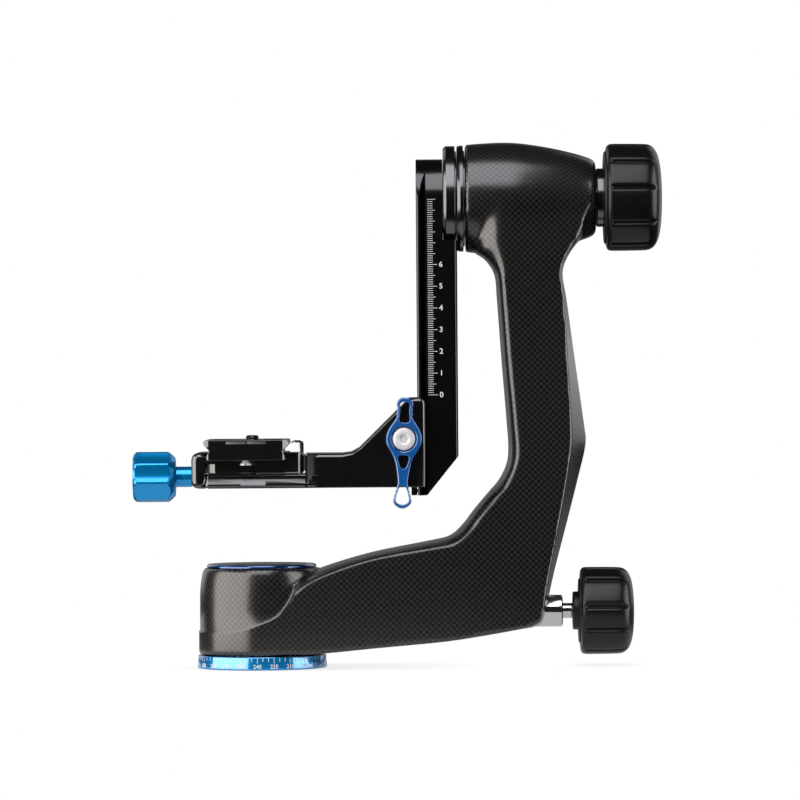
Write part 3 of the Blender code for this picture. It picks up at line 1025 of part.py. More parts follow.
def make_clamp(platform):
    """Clamp body with its fixed jaw, bolts, guide pins, springs and level."""
    lip_x = PLATE_CENTRE + LIP_HALF_WIDTH
    wall_x = PLATE_CENTRE + PLATE_FOOT_HALF_WIDTH + LIP_GAP
    foot_top = PLATE_BOTTOM + PLATE_FOOT_HEIGHT
    corner = JAW_CORNER
    side = [
        (CLAMP_LEFT_X, CLAMP_BASE), (CLAMP_RIGHT_X, CLAMP_BASE), (CLAMP_RIGHT_X, CLAMP_TOP - corner),
        (CLAMP_RIGHT_X - corner, CLAMP_TOP), (lip_x, CLAMP_TOP), (wall_x, foot_top), (wall_x, CHANNEL_FLOOR),
        (CLAMP_LEFT_X, CHANNEL_FLOOR),
    ]
    body = side_prism("clamp_body", side, CLAMP_HALF_LENGTH)
    lug = block("lug", (CLAMP_LUG_START, -CLAMP_LUG_HALF_WIDTH, TROUGH_FLOOR + FIT),
                (CLAMP_LUG_END, CLAMP_LUG_HALF_WIDTH, CLAMP_BASE + FIT))
    shape(body, lug, "UNION")
    groove = block("groove", (PLATE_CENTRE - STOP_GROOVE_HALF_WIDTH, -CLAMP_HALF_LENGTH - OVERRUN,
                              CHANNEL_FLOOR - STOP_GROOVE_DEPTH),
                   (PLATE_CENTRE + STOP_GROOVE_HALF_WIDTH, -CLAMP_HALF_LENGTH / 2, CHANNEL_FLOOR + OVERRUN))
    shape(body, groove)
    spring_room = SPRING_RADIUS + SPRING_WIRE_RADIUS + FIT
    bore_end = CLAMP_SCREW_END + TROUGH_ROOM
    bore = [(0, CLAMP_LEFT_X - OVERRUN), (spring_room, CLAMP_LEFT_X - OVERRUN), (spring_room, CLAMP_LUG_START),
            (CLAMP_SCREW_RADIUS + FIT, CLAMP_LUG_START), (CLAMP_SCREW_RADIUS + FIT, bore_end), (0, bore_end)]
    shape(body, place(turned("hole", bore, facets=COARSE), None, (0, 0, CLAMP_SCREW_HEIGHT), ALONG_X))
    for side, (x, y) in zip(SIDES, clamp_bolt_places()):
        shape(body, place(turned("hole", clamp_bolt_profile(FIT), facets=TINY), None, (x, y, 0)))
        place(turned(f"clamp_bolt_{side}", clamp_bolt_profile(0), STEEL, TINY), platform, (x, y, 0))
    pin_start = JAW_INNER_X - CLAMP_PIN_REACH
    pin_end = CLAMP_LEFT_X + CLAMP_PIN_BITE
    for side, side_y in zip(SIDES, (-CLAMP_PIN_SPACING / 2, CLAMP_PIN_SPACING / 2)):
        spot = (0, side_y, PIN_HEIGHT)
        place(pin(f"jaw_pin_{side}", CLAMP_PIN_RADIUS, pin_start, pin_end, STEEL, TINY), platform, spot, ALONG_X)
        shape(body, place(pin("hole", CLAMP_PIN_RADIUS + FIT, CLAMP_LEFT_X - OVERRUN, pin_end + FIT), None, spot,
                          ALONG_X))
    shape(body, place(pin("seat", LEVEL_RADIUS + FIT, CLAMP_TOP - LEVEL_SEAT, CLAMP_TOP + OVERRUN), None,
                      (LEVEL_X, 0, 0)))
    level_low = CLAMP_TOP - LEVEL_SEAT + FIT
    dome = LEVEL_RADIUS / 3
    place(turned("bubble_level", [
        (0, level_low), (LEVEL_RADIUS, level_low), (LEVEL_RADIUS, level_low + LEVEL_HEIGHT - dome),
        (LEVEL_RADIUS - dome, level_low + LEVEL_HEIGHT - dome / 3), (0, level_low + LEVEL_HEIGHT)], CLEAR,
        COARSE), platform, (LEVEL_X, 0, 0))
    paint(body, BLACK_ANODISED)
    place(body, platform)
    spring_start = CLAMP_LEFT_X + SPRING_WIRE_RADIUS + FIT
    spring_end = CLAMP_LUG_START - SPRING_WIRE_RADIUS - FIT
    place(spring_coil(spring_start, spring_end), platform, (0, 0, CLAMP_SCREW_HEIGHT), ALONG_X)


def spring_coil(low, high):
    """A round wire wound about Z from one height to the other."""
    steps = 8
    sides = 4
    rings = []
    for step in range(SPRING_TURNS * steps + 1):
        angle = 2 * math.pi * step / steps
        centre_z = low + (high - low) * step / (SPRING_TURNS * steps)
        ring = []
        for corner in range(sides):
            turn = 2 * math.pi * corner / sides
            radius = SPRING_RADIUS + SPRING_WIRE_RADIUS * math.cos(turn)
            ring.append((radius * math.cos(angle), radius * math.sin(angle),
                         centre_z + SPRING_WIRE_RADIUS * math.sin(turn)))
        rings.append(ring)
    return lofted("jaw_spring", rings, STEEL)


def lever_outline():
    """The lever's edge, anticlockwise from the right of its boss."""
    first, last = HUB_BLEND_ANGLES
    right = []
    for step in range(9):
        angle = -last + (first + last) * step / 8
        right.append((LEVER_BOSS_RADIUS * math.cos(angle), LEVER_BOSS_RADIUS * math.sin(angle)))
    up = [(LEVER_BOSS_RADIUS * wide, LEVER_UP_LENGTH * along) for along, wide in LEVER_UP_SHARES]
    down = [(LEVER_BOSS_RADIUS * wide, -LEVER_DOWN_LENGTH * along) for along, wide in LEVER_DOWN_SHARES]
    half = list(reversed(down)) + right + up
    return half + [(-x, y) for x, y in reversed(half)]


def make_lever(lever_line):
    """The double-ended lever and its screw; Z points to the front."""
    low = BRACKET_HALF_WIDTH + LEVER_STANDOFF
    high = low + LEVER_THICKNESS
    lever = prism("height_lever", lever_outline(), low, high)
    for length, shares in LEVER_HOLE_SHARES:
        half = [(LEVER_BOSS_RADIUS * wide, length * along) for along, wide in shares]
        outline = half + [(-x, y) for x, y in reversed(half)]
        shape(lever, prism("hole", outline, low - OVERRUN, high + OVERRUN))
    recess = LEVER_SCREW_HEAD_RADIUS + LEVER_RECESS_PLAY
    recess_low = high - LEVER_RECESS
    bore = [(0, low - OVERRUN), (LEVER_SCREW_RADIUS + FIT, low - OVERRUN), (LEVER_SCREW_RADIUS + FIT, recess_low),
            (recess, recess_low), (recess, high + OVERRUN), (0, high + OVERRUN)]
    shape(lever, turned("bore", bore, facets=COARSE))
    paint(lever, BLUE_ANODISED)
    place(lever, lever_line, (0, 0, 0), (0, 0, -LEVER_LEAN))
    head_low = recess_low + FIT
    head_high = head_low + LEVER_SCREW_HEAD_HEIGHT
    tip = LEVER_X - wedge_left() + FIT * math.sqrt(2)
    screw = turned("lever_screw", [
        (0, tip), (LEVER_SCREW_RADIUS, tip + LEVER_SCREW_RADIUS), (LEVER_SCREW_RADIUS, head_low),
        (LEVER_SCREW_HEAD_RADIUS, head_low), (LEVER_SCREW_HEAD_RADIUS, head_high - EDGE_ROUND),
        (LEVER_SCREW_HEAD_RADIUS - EDGE_ROUND, head_high), (0, head_high)], None, COARSE)
    shape(screw, pin("socket", LEVER_SOCKET_RADIUS, head_high - LEVER_SOCKET_DEPTH, head_high + OVERRUN,
                     facets=6))
    paint(screw, CHROME)
    place(screw, lever_line)


def wedge_left():
    return RAIL_LEFT - FIT - WEDGE_LENGTH


def make_wedge(platform):
    """The bronze shoe that the lever screw's tip drives against the rail."""
    right = RAIL_LEFT - FIT
    left = wedge_left()
    outline = [(left, WEDGE_HALF_WIDTH), (left, 0), (left + WEDGE_HALF_WIDTH, -WEDGE_HALF_WIDTH),
               (right, -WEDGE_HALF_WIDTH), (right, WEDGE_HALF_WIDTH)]
    place(prism("rail_clamp_shoe", outline, LEVER_Z - WEDGE_HALF_HEIGHT, LEVER_Z + WEDGE_HALF_HEIGHT, BRONZE),
          platform)


def make_jaw(jaw):
    """The moving jaw with its lip over the plate's flank."""
    lip_x = PLATE_CENTRE - LIP_HALF_WIDTH
    wall_x = PLATE_CENTRE - PLATE_FOOT_HALF_WIDTH - LIP_GAP
    foot_top = PLATE_BOTTOM + PLATE_FOOT_HEIGHT
    corner = JAW_CORNER
    side = [
        (JAW_OUTER_X + corner, PLATFORM_BOTTOM), (JAW_INNER_X, PLATFORM_BOTTOM), (JAW_INNER_X, CHANNEL_FLOOR + FIT),
        (wall_x, CHANNEL_FLOOR + FIT), (wall_x, foot_top), (lip_x, CLAMP_TOP),
        (JAW_OUTER_X + corner, CLAMP_TOP), (JAW_OUTER_X, CLAMP_TOP - corner),
        (JAW_OUTER_X, PLATFORM_BOTTOM + corner),
    ]
    piece = side_prism("moving_jaw", side, JAW_HALF_LENGTH)
    shape(piece, place(pin("hole", CLAMP_SCREW_RADIUS + FIT, JAW_OUTER_X - OVERRUN, JAW_INNER_X + OVERRUN), None,
                       (0, 0, CLAMP_SCREW_HEIGHT), ALONG_X))
    for side_y in (-CLAMP_PIN_SPACING / 2, CLAMP_PIN_SPACING / 2):
        shape(piece, place(pin("hole", CLAMP_PIN_RADIUS + FIT, JAW_INNER_X - CLAMP_PIN_REACH - FIT,
                               JAW_INNER_X + OVERRUN), None, (0, side_y, PIN_HEIGHT), ALONG_X))
    paint(piece, BLACK_ANODISED)
    place(piece, jaw)


def make_clamp_knob(clamp_line):
    """The fluted blue knob with its neck, and the steel screw in it."""
    neck_end = JAW_OUTER_X - FIT
    high = neck_end - CLAMP_NECK_LENGTH
    low = high - CLAMP_KNOB_LENGTH
    stations = (
        (low, CLAMP_KNOB_RADIUS - CLAMP_KNOB_CHAMFER), (low + CLAMP_KNOB_CHAMFER, CLAMP_KNOB_RADIUS),
        (high - CLAMP_KNOB_SHOULDER, CLAMP_KNOB_RADIUS), (high, CLAMP_KNOB_RADIUS - CLAMP_KNOB_SHOULDER),
    )
    rings = []
    per_flute = 4
    for height, radius in stations:
        ring = []
        for step in range(CLAMP_FLUTES * per_flute):
            angle = CLAMP_FLUTE_TURN + 2 * math.pi * step / (CLAMP_FLUTES * per_flute)
            hollow = CLAMP_FLUTE_DEPTH * (0.5 + 0.5 * math.cos(CLAMP_FLUTES * (angle - CLAMP_FLUTE_TURN)))
            depth = CLAMP_KNOB_RADIUS - hollow
            reach = min(radius, depth)
            ring.append((reach * math.cos(angle), reach * math.sin(angle), height))
        rings.append(ring)
    knob = lofted("clamp_knob", rings)
    shape(knob, pin("neck", CLAMP_NECK_RADIUS, high - OVERRUN, neck_end), "UNION")
    screw_start = neck_end - CLAMP_SCREW_BITE
    shape(knob, pin("hole", CLAMP_SCREW_RADIUS + FIT, screw_start - FIT, neck_end + OVERRUN))
    paint(knob, BLUE_ANODISED)
    place(knob, clamp_line)
    place(pin("clamp_screw", CLAMP_SCREW_RADIUS, screw_start, CLAMP_SCREW_END, STEEL), clamp_line)


def pad_frame(name, play, low, high):
    """The rubber frame on the plate, or its seat when there is play."""
    wide = PLATE_HALF_WIDTH - PAD_SIDE_INSET + play
    long = PLATE_HALF_LENGTH - PAD_END_INSET + play
    frame = block(name, (PLATE_CENTRE - wide, -long, low), (PLATE_CENTRE + wide, long, high))
    inner_wide = wide - PAD_SIDE_BAND - 2 * play
    inner_long = long - PAD_END_BAND - 2 * play
    window = block("window", (PLATE_CENTRE - inner_wide, -inner_long, low - OVERRUN),
                   (PLATE_CENTRE + inner_wide, inner_long, high + OVERRUN))
    return shape(frame, window)


def make_plate(plate):
    """The camera plate with its pad and stop screws, and the camera screw in its slot."""
    waist = PLATE_BOTTOM + PLATE_WAIST_HEIGHT
    half = [(PLATE_FOOT_HALF_WIDTH, PLATE_BOTTOM), (PLATE_FOOT_HALF_WIDTH, PLATE_BOTTOM + PLATE_FOOT_HEIGHT),
            (PLATE_WAIST_HALF_WIDTH, waist), (PLATE_HALF_WIDTH, PLATE_BOTTOM + PLATE_SHOULDER_HEIGHT),
            (PLATE_HALF_WIDTH, PLATE_TOP)]
    side = [(PLATE_CENTRE + x, z) for x, z in half] + [(PLATE_CENTRE - x, z) for x, z in reversed(half)]
    body = side_prism("camera_plate", side, PLATE_HALF_LENGTH)
    screw_x = PLATE_CENTRE + CAMERA_SCREW_SHIFT
    head_low = PLATE_BOTTOM + FIT
    head_high = head_low + CAMERA_SCREW_HEAD_HEIGHT
    for half_width, low, high in ((CAMERA_SCREW_RADIUS + FIT, PLATE_BOTTOM - OVERRUN, PLATE_TOP + OVERRUN),
                                  (CAMERA_SCREW_HEAD_RADIUS + FIT, PLATE_BOTTOM - OVERRUN, head_high + FIT)):
        shape(body, block("slot", (screw_x - half_width, -CAMERA_SLOT_HALF_LENGTH, low),
                          (screw_x + half_width, CAMERA_SLOT_HALF_LENGTH, high)))
    pad_low = PLATE_TOP - PAD_SEAT + FIT
    pad = pad_frame("plate_pad", 0, pad_low, pad_low + PAD_THICKNESS)
    paint(pad, RUBBER)
    place(pad, plate)
    shape(body, pad_frame("seat", FIT, PLATE_TOP - PAD_SEAT, PLATE_TOP + OVERRUN))
    stop_reach = PLATE_HALF_LENGTH - STOP_BOLT_INSET
    profile = [(0, -FIT - STOP_BOLT_HEAD_HEIGHT), (STOP_BOLT_HEAD_RADIUS, -FIT - STOP_BOLT_HEAD_HEIGHT),
               (STOP_BOLT_HEAD_RADIUS / 2, -FIT), (STOP_BOLT_RADIUS, -FIT), (STOP_BOLT_RADIUS, STOP_BOLT_BITE),
               (0, STOP_BOLT_BITE)]
    for side, side_y in zip(SIDES, (-stop_reach, stop_reach)):
        spot = (PLATE_CENTRE, side_y, PLATE_BOTTOM)
        shape(body, place(pin("hole", STOP_BOLT_RADIUS + FIT, -OVERRUN, STOP_BOLT_BITE + FIT, facets=TINY), None,
                          spot))
        place(turned(f"plate_stop_{side}", profile, CHROME, TINY), plate, spot)
    paint(body, BLACK_ANODISED)
    place(body, plate)
    place(turned("camera_screw", [
        (0, head_low), (CAMERA_SCREW_HEAD_RADIUS, head_low), (CAMERA_SCREW_HEAD_RADIUS, head_high),
        (CAMERA_SCREW_RADIUS, head_high), (CAMERA_SCREW_RADIUS, PLATE_TOP + CAMERA_SCREW_STANDOUT),
        (0, PLATE_TOP + CAMERA_SCREW_STANDOUT)], CHROME, COARSE), plate, (screw_x, 0, 0))


def main():
    clear_scene()
    base = anchor("pan_axis", (0, 0, 0))
    arm = anchor("arm_frame", (0, 0, 0))
    tilt_line = anchor("tilt_axis", (0, 0, TILT_HEIGHT), ALONG_X)
    swing = anchor("swing_frame", (0, 0, TILT_HEIGHT))
    lock_line = anchor("pan_lock_axis", (0, 0, PAN_LOCK_HEIGHT), ALONG_X)
    clamp_line = anchor("clamp_screw_axis", (0, 0, CLAMP_SCREW_HEIGHT), ALONG_X)
    lever_line = anchor("lever_axis", (LEVER_X, 0, LEVER_Z), TOWARDS_FRONT)
    platform = anchor("platform_frame", (0, 0, 0))
    make_base(base)
    ball_bearing("pan", "pan_bearing_balls", PAN_RACE_BORE, RACE_BASE, base, arm, base)
    make_arm_shell(arm)
    make_pan_housing(arm)
    make_tilt_housing(tilt_line)
    ball_bearing("tilt", "tilt_bearing_balls", TILT_INNER_RACE_BORE, TILT_RACE_START, tilt_line, tilt_line,
                 tilt_line)
    make_tilt_shaft(tilt_line, swing)
    make_pan_lock(lock_line)
    make_tilt_lock(tilt_line)
    make_bracket(platform)
    make_clamp(platform)
    make_lever(lever_line)
    make_wedge(platform)
    make_jaw(platform)
    make_clamp_knob(clamp_line)
    make_plate(platform)


main()
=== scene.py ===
# Looks of the gimbal tripod head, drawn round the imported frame. Metres, +Z up, the camera looks along +Y.
import json
import math

import bmesh
import bpy
from mathutils import Matrix, Vector


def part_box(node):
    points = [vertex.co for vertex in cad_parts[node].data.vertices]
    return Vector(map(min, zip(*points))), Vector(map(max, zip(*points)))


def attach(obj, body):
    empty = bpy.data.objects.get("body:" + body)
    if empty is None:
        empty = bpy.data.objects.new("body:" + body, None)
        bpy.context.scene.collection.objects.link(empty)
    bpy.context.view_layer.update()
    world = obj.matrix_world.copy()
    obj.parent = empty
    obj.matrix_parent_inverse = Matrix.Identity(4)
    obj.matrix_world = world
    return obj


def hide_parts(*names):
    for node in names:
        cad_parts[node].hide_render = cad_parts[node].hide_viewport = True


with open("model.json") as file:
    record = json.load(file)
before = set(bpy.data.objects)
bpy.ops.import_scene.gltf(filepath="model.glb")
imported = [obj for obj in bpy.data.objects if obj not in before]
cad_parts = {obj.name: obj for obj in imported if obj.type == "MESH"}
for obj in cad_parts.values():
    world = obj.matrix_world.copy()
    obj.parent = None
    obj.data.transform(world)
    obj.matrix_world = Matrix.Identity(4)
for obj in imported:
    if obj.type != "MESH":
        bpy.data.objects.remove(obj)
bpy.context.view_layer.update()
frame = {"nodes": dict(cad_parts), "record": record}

MM = 0.001
DEG = math.pi / 180

# Sizes in metres that the frame's solids share with the looks
TILT_Z = 0.2166
PAN_LOCK_Z = 0.0253
CLAMP_Z = 0.0886
ARM_REACH = 0.1506
ARM_FOOT = 0.0064
ARM_RISE = TILT_Z - ARM_FOOT
BARREL_R = 28.7 * MM
FLANGE_R = 29.25 * MM
HUB_R = 25.8 * MM
HUB_START = 95.5 * MM
HUB_LENGTH = 60.5 * MM

# Camera: its eye, and the focal length that fits the photograph's perspective
EYE = (0.065, -2.55, 0.134)
LENS = 247.5
SENSOR = 36.0
CAMERA_DIP = 0.2365 * DEG
CAMERA_ROLL = 0.42 * DEG
CAMERA_SHIFT_X = -0.0006

# The room: how bright it is in front for mirrors and all round for matt surfaces, and the floor's painted contact
# shadow
OBJECT_CENTRE = (0.065, 0, 0.13)
WHITE = (1, 1, 1)
ROOM_FRONT = 0.015
ROOM_BACK = 0.2
ROOM_BACK_START = 0.82
ROOM_FILL = 0.14
TABLE_RADIUS = 0.18
TABLE_GLOW = 0.5
SHADOW_REACH = 14 * MM
SHADOW_DEPTH = 0.2

NODES = frame["nodes"]
SLOT_OF = {row["node"]: row["material_slot"] for row in frame["record"]["subparts"]}
BODY_OF = {node: body for body, members in frame["record"]["behaviour"]["bodies"].items() for node in members}


# ---- places and points ----


def span(node, axis):
    """Where a solid's box starts and ends along an axis, in mm."""
    return [corner[axis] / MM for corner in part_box(node)]


def middle(node, axis):
    return sum(span(node, axis)) / 2


def box_mm(node):
    """The two corners of a solid's box, in mm."""
    return [[value / MM for value in corner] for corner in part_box(node)]


def polar(radius, angle, height):
    return radius * math.cos(angle), radius * math.sin(angle), height


def scaled(points):
    """Points given in mm, in metres."""
    return [tuple(value * MM for value in point) for point in points]


def rectangle(x0, y0, x1, y1):
    return [(x0, y0), (x1, y0), (x1, y1), (x0, y1)]


def mirrored(half):
    """Close an outline with its half's image across the first axis."""
    return half + [(x, -y) for x, y in reversed(half)]


def widened(half):
    """Close an outline with its half's image across the second axis."""
    return list(half) + [(-x, y) for x, y in reversed(half)]


def soft_corners(points, radii, steps=3):
    """Round the corners of a closed (a, b) outline, by one radius or by one for each corner."""
    rounded = []
    count = len(points)
    for index, (x, y) in enumerate(points):
        radius = radii[index] if isinstance(radii, list) else radii
        before = Vector(points[index - 1]) - Vector((x, y))
        after = Vector(points[(index + 1) % count]) - Vector((x, y))
        turn = before.angle(after, math.pi)
        if turn > 170 * DEG or not radius:
            rounded.append((x, y))
            continue
        cut = min(radius, before.length * 0.45, after.length * 0.45)
        start = Vector((x, y)) + before.normalized() * cut
        end = Vector((x, y)) + after.normalized() * cut
        for step in range(steps + 1):
            t = step / steps
            spot = start * (1 - t) ** 2 + Vector((x, y)) * (2 * t * (1 - t)) + end * t**2
            rounded.append(tuple(spot))
    return rounded


def round_profile(profile, radius):
    """Round the corners of a turned profile, but not where it meets the axis."""
    rounded = soft_corners(profile, radius)
    if profile[0][0]:
        return rounded
    kept = [point for point in rounded if point[0] > 0.02 * MM]
    return [(0, profile[0][1]), *kept, (0, profile[-1][1])]


def inset(points, gap, share_of=None):
    """Move a closed anticlockwise outline inwards by a gap, or outwards by a negative one. A side takes the share
    of the gap that is given for its middle."""
    moved = []
    for index, (x, z) in enumerate(points):
        here = Vector((x, z))
        before = Vector(points[index - 1])
        after = Vector(points[(index + 1) % len(points)])
        near, far = (here - before).normalized().orthogonal(), (after - here).normalized().orthogonal()
        push = (near + far) * (gap / max(0.35, 1 + near.dot(far)))
        if share_of:
            first, second = share_of(*(before + here) / 2), share_of(*(here + after) / 2)
            turn = near.cross(far)
            if abs(turn) < 0.5:
                push *= (first + second) / 2
            else:
                push = Vector((first * far.y - second * near.y, second * near.x - first * far.x))
                push *= gap / turn
        moved.append((x + push.x, z + push.y))
    return moved


def blend_rows(rows, spot):
    """A Catmull-Rom blend of rows of numbers at a fractional row number."""
    first = min(int(spot), len(rows) - 2)
    t = spot - first
    picked = [rows[max(0, min(len(rows) - 1, first + step))] for step in (-1, 0, 1, 2)]
    blended = []
    for a, b, c, d in zip(*picked):
        blended.append(0.5 * (2 * b + (c - a) * t + (2 * a - 5 * b + 4 * c - d) * t**2
                              + (3 * b - a - 3 * c + d) * t**3))
    return blended


def smoothstep(low, high, value):
    t = min(1.0, max(0.0, (value - low) / (high - low)))
    return t * t * (3 - 2 * t)


# ---- meshes ----


def configure(item, **settings):
    for key, value in settings.items():
        setattr(item, key, value)
    return item


def link(item):
    bpy.context.scene.collection.objects.link(item)
    return item


def move(item, x, y, z):
    item.data.transform(Matrix.Translation((x, y, z)))
    return item


def shade(mesh, sharp):
    """Smooth shading, with the edges past an angle kept sharp."""
    mesh.shade_smooth()
    mesh.set_sharp_from_angle(angle=sharp)


def mesh_object(mesh_data, sharp=35 * DEG):
    bmesh.ops.recalc_face_normals(mesh_data, faces=mesh_data.faces[:])
    mesh = bpy.data.meshes.new("piece")
    mesh_data.to_mesh(mesh)
    mesh_data.free()
    shade(mesh, sharp)
    return link(bpy.data.objects.new("piece", mesh))


def editable(mesh):
    mesh_data = bmesh.new()
    mesh_data.from_mesh(mesh)
    return mesh_data


def put_back(mesh_data, item):
    mesh_data.to_mesh(item.data)
    mesh_data.free()


def welded(mesh):
    """A mesh for editing, with its doubled points joined."""
    mesh_data = editable(mesh)
    bmesh.ops.remove_doubles(mesh_data, verts=mesh_data.verts[:], dist=0.002 * MM)
    return mesh_data


def copy_of(node):
    return mesh_object(welded(NODES[node].data))


def loft(rings, closed=False, sharp=35 * DEG):
    """Skin rings of points, and close both ends unless the rings run round."""
    mesh_data = bmesh.new()
    made = [[mesh_data.verts.new(point) for point in ring] for ring in rings]
    pairs = list(zip(made, made[1:]))
    if closed:
        pairs.append((made[-1], made[0]))
    for low, high in pairs:
        count = max(len(low), len(high))
        for step in range(count):
            after = (step + 1) % count
            corners = [low[step % len(low)], low[after % len(low)], high[after % len(high)], high[step % len(high)]]
            mesh_data.faces.new(list(dict.fromkeys(corners)))
    if not closed:
        for ring in (made[0], made[-1]):
            if len(ring) > 2:
                mesh_data.faces.new(ring)
    return mesh_object(mesh_data, sharp)


def lathe(profile, facets):
    """Turn a closed loop of (radius, height) about Z; radius 0 is a tip on the axis."""
    rings = []
    for radius, height in profile:
        count = facets if radius else 1
        rings.append([polar(radius, 2 * math.pi * step / count, height) for step in range(count)])
    return loft(rings, closed=bool(profile[0][0]))


def turned(profile, facets, rounding=0, at=(0, 0)):
    """Turn a (radius, height) profile in mm, with rounded corners, at an (x, y) place in mm."""
    item = lathe(round_profile(scaled(profile), rounding * MM), facets)
    return move(item, at[0] * MM, at[1] * MM, 0)


def turn_along_x(item, height):
    """Lay a piece drawn about Z along the X axis at a height: its own Z becomes X."""
    item.data.transform(Matrix.Translation((0, 0, height)) @ Matrix.Rotation(90 * DEG, 4, "Y"))
    return item


def turn_to_front(item, x=0, z=0):
    """Lay a piece drawn about Z on a line that runs to the front: its own Z becomes -Y. Given in mm."""
    item.data.transform(Matrix.Translation((x * MM, 0, z * MM)) @ Matrix.Rotation(90 * DEG, 4, "X"))
    return item


def block(low, high):
    """A box between two corners given in mm."""
    ring = rectangle(*low[:2], *high[:2])
    return loft([scaled([(x, y, z) for x, y in ring]) for z in (low[2], high[2])])


def side_prism(outline, low, high, rim, flare=False, share_of=None):
    """A prism of an anticlockwise (x, z) outline from low to high y, all in mm, with rounded rims. A flared one
    is a cutting tool whose hole gets rounded rims."""
    turns = [step * 22.5 * DEG for step in range(5)]
    rows = [(rim * (1 - math.cos(turn)), rim * (1 - math.sin(turn))) for turn in turns]
    if flare:
        rows = [(-1.0, -rim)] + [(reach, -gap) for reach, gap in rows]
    rings = [(low + reach, gap) for reach, gap in rows] + [(high - reach, gap) for reach, gap in reversed(rows)]
    made = [scaled([(x, y, z) for x, z in inset(outline, gap, share_of)]) for y, gap in rings]
    return loft(made, sharp=20 * DEG)


def plan_prism(outline, rows):
    """A prism of an anticlockwise (x, y) outline whose rows are (z, inset), all in mm."""
    made = [scaled([(x, y, z) for x, y in inset(outline, gap)]) for z, gap in rows]
    return loft(made, sharp=20 * DEG)


def hex_hole(radius, low, high):
    """A hexagonal key hole along Z, in mm."""
    return loft([scaled([polar(radius, k * 60 * DEG, z) for k in range(6)]) for z in (low, high)])


def thread(radius, low, high, pitch, cut):
    """The zigzag side of a threaded stretch, in mm, from the bottom up."""
    turns = int((high - low) / pitch)
    points = []
    for number in range(turns):
        base = low + (high - low) * number / turns
        points += [(radius - cut, base), (radius, base + (high - low) / turns / 2)]
    return points + [(radius - cut, high)]


def baked(item):
    """The mesh that an object's modifiers or its curve make."""
    bpy.context.view_layer.update()
    view = bpy.context.evaluated_depsgraph_get()
    return bpy.data.meshes.new_from_object(item.evaluated_get(view), depsgraph=view)


def apply(item, kind, **settings):
    """Change an object's mesh with one modifier."""
    configure(item.modifiers.new("step", kind), **settings)
    mesh = baked(item)
    item.modifiers.clear()
    item.data = mesh
    return item


def combine(item, tool, operation="DIFFERENCE"):
    apply(item, "BOOLEAN", operation=operation, object=tool)
    bpy.data.objects.remove(tool, do_unlink=True)
    return item


def rounded_edges(item, width, segments, angle=28 * DEG):
    return apply(item, "BEVEL", width=width, segments=segments, limit_method="ANGLE", angle_limit=angle,
                 use_clamp_overlap=True, harden_normals=True)


def mark_sharp(item, angle, inside):
    """Make edges sharp past an angle where a test on their middle holds."""
    mesh_data = editable(item.data)
    for edge in mesh_data.edges:
        spot = (edge.verts[0].co + edge.verts[1].co) / 2
        if len(edge.link_faces) == 2 and inside(spot) and edge.calc_face_angle() > angle:
            edge.smooth = False
    put_back(mesh_data, item)


def even_shading(item, sharp=42 * DEG, crisp=None):
    """Keep broad faces flat while the narrow strips of a rounded rim run smoothly into them. Edges stay crisp
    where a test on their middle holds."""
    shade(item.data, sharp)
    if crisp:
        mark_sharp(item, 8 * DEG, crisp)
    return apply(item, "WEIGHTED_NORMAL", keep_sharp=True, weight=90)


def smooth_near(item, centre, radius, rounds):
    """Relax a mesh near a spot, more at its middle, to make a moulded fillet."""
    mesh_data = editable(item.data)
    centre = Vector(centre)
    near = []
    for vertex in mesh_data.verts:
        spot = Vector((vertex.co.x, abs(vertex.co.y), vertex.co.z))
        gap = (spot - centre).length
        if gap < radius:
            near.append((vertex, (1 - gap / radius) ** 0.5))
    for _ in range(rounds):
        moved = []
        for vertex, weight in near:
            total = Vector()
            for edge in vertex.link_edges:
                total += edge.other_vert(vertex).co
            moved.append(vertex.co.lerp(total / len(vertex.link_edges), 0.6 * weight))
        for (vertex, _), spot in zip(near, moved):
            vertex.co = spot
    put_back(mesh_data, item)


def finish(piece, node, look=None):
    """Name a drawn piece, hide its solid, and give it the solid's body and its slot's material, or the look given."""
    slot = SLOT_OF[node]
    piece.name = f"{node}_skin"
    piece.data.materials.clear()
    piece.data.materials.append(look or MATERIALS[slot])
    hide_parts(node)
    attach(piece, BODY_OF[node])
    return piece


def detail(piece, name, body, slot, look=None):
    """Give a piece that stands for no solid its name, its body and the material of a slot, or the look given."""
    piece.name = name
    piece.data.materials.append(look or MATERIALS[slot])
    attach(piece, body)
    return piece


def softened(node, width, segments, trim=None, operation="DIFFERENCE", look=None):
    """A copy of a solid, trimmed by a shape and with its edges rounded, standing for the solid."""
    piece = copy_of(node)
    if trim:
        combine(piece, trim, operation)
    mesh_data = welded(piece.data)
    bmesh.ops.dissolve_limit(mesh_data, angle_limit=0.5 * DEG, verts=mesh_data.verts[:], edges=mesh_data.edges[:])
    put_back(mesh_data, piece)
    shade(piece.data, 28 * DEG)
    return finish(rounded_edges(piece, width, segments), node, look)


def turned_piece(node, profile, rounding, facets=96, along_x=None, at=(0, 0), look=None):
    """A finely turned piece for a solid, along X at a height in metres or else upright at a place in mm."""
    piece = turned(profile, facets, rounding, at)
    if along_x:
        turn_along_x(piece, along_x)
    return finish(piece, node, look)


# ---- materials ----


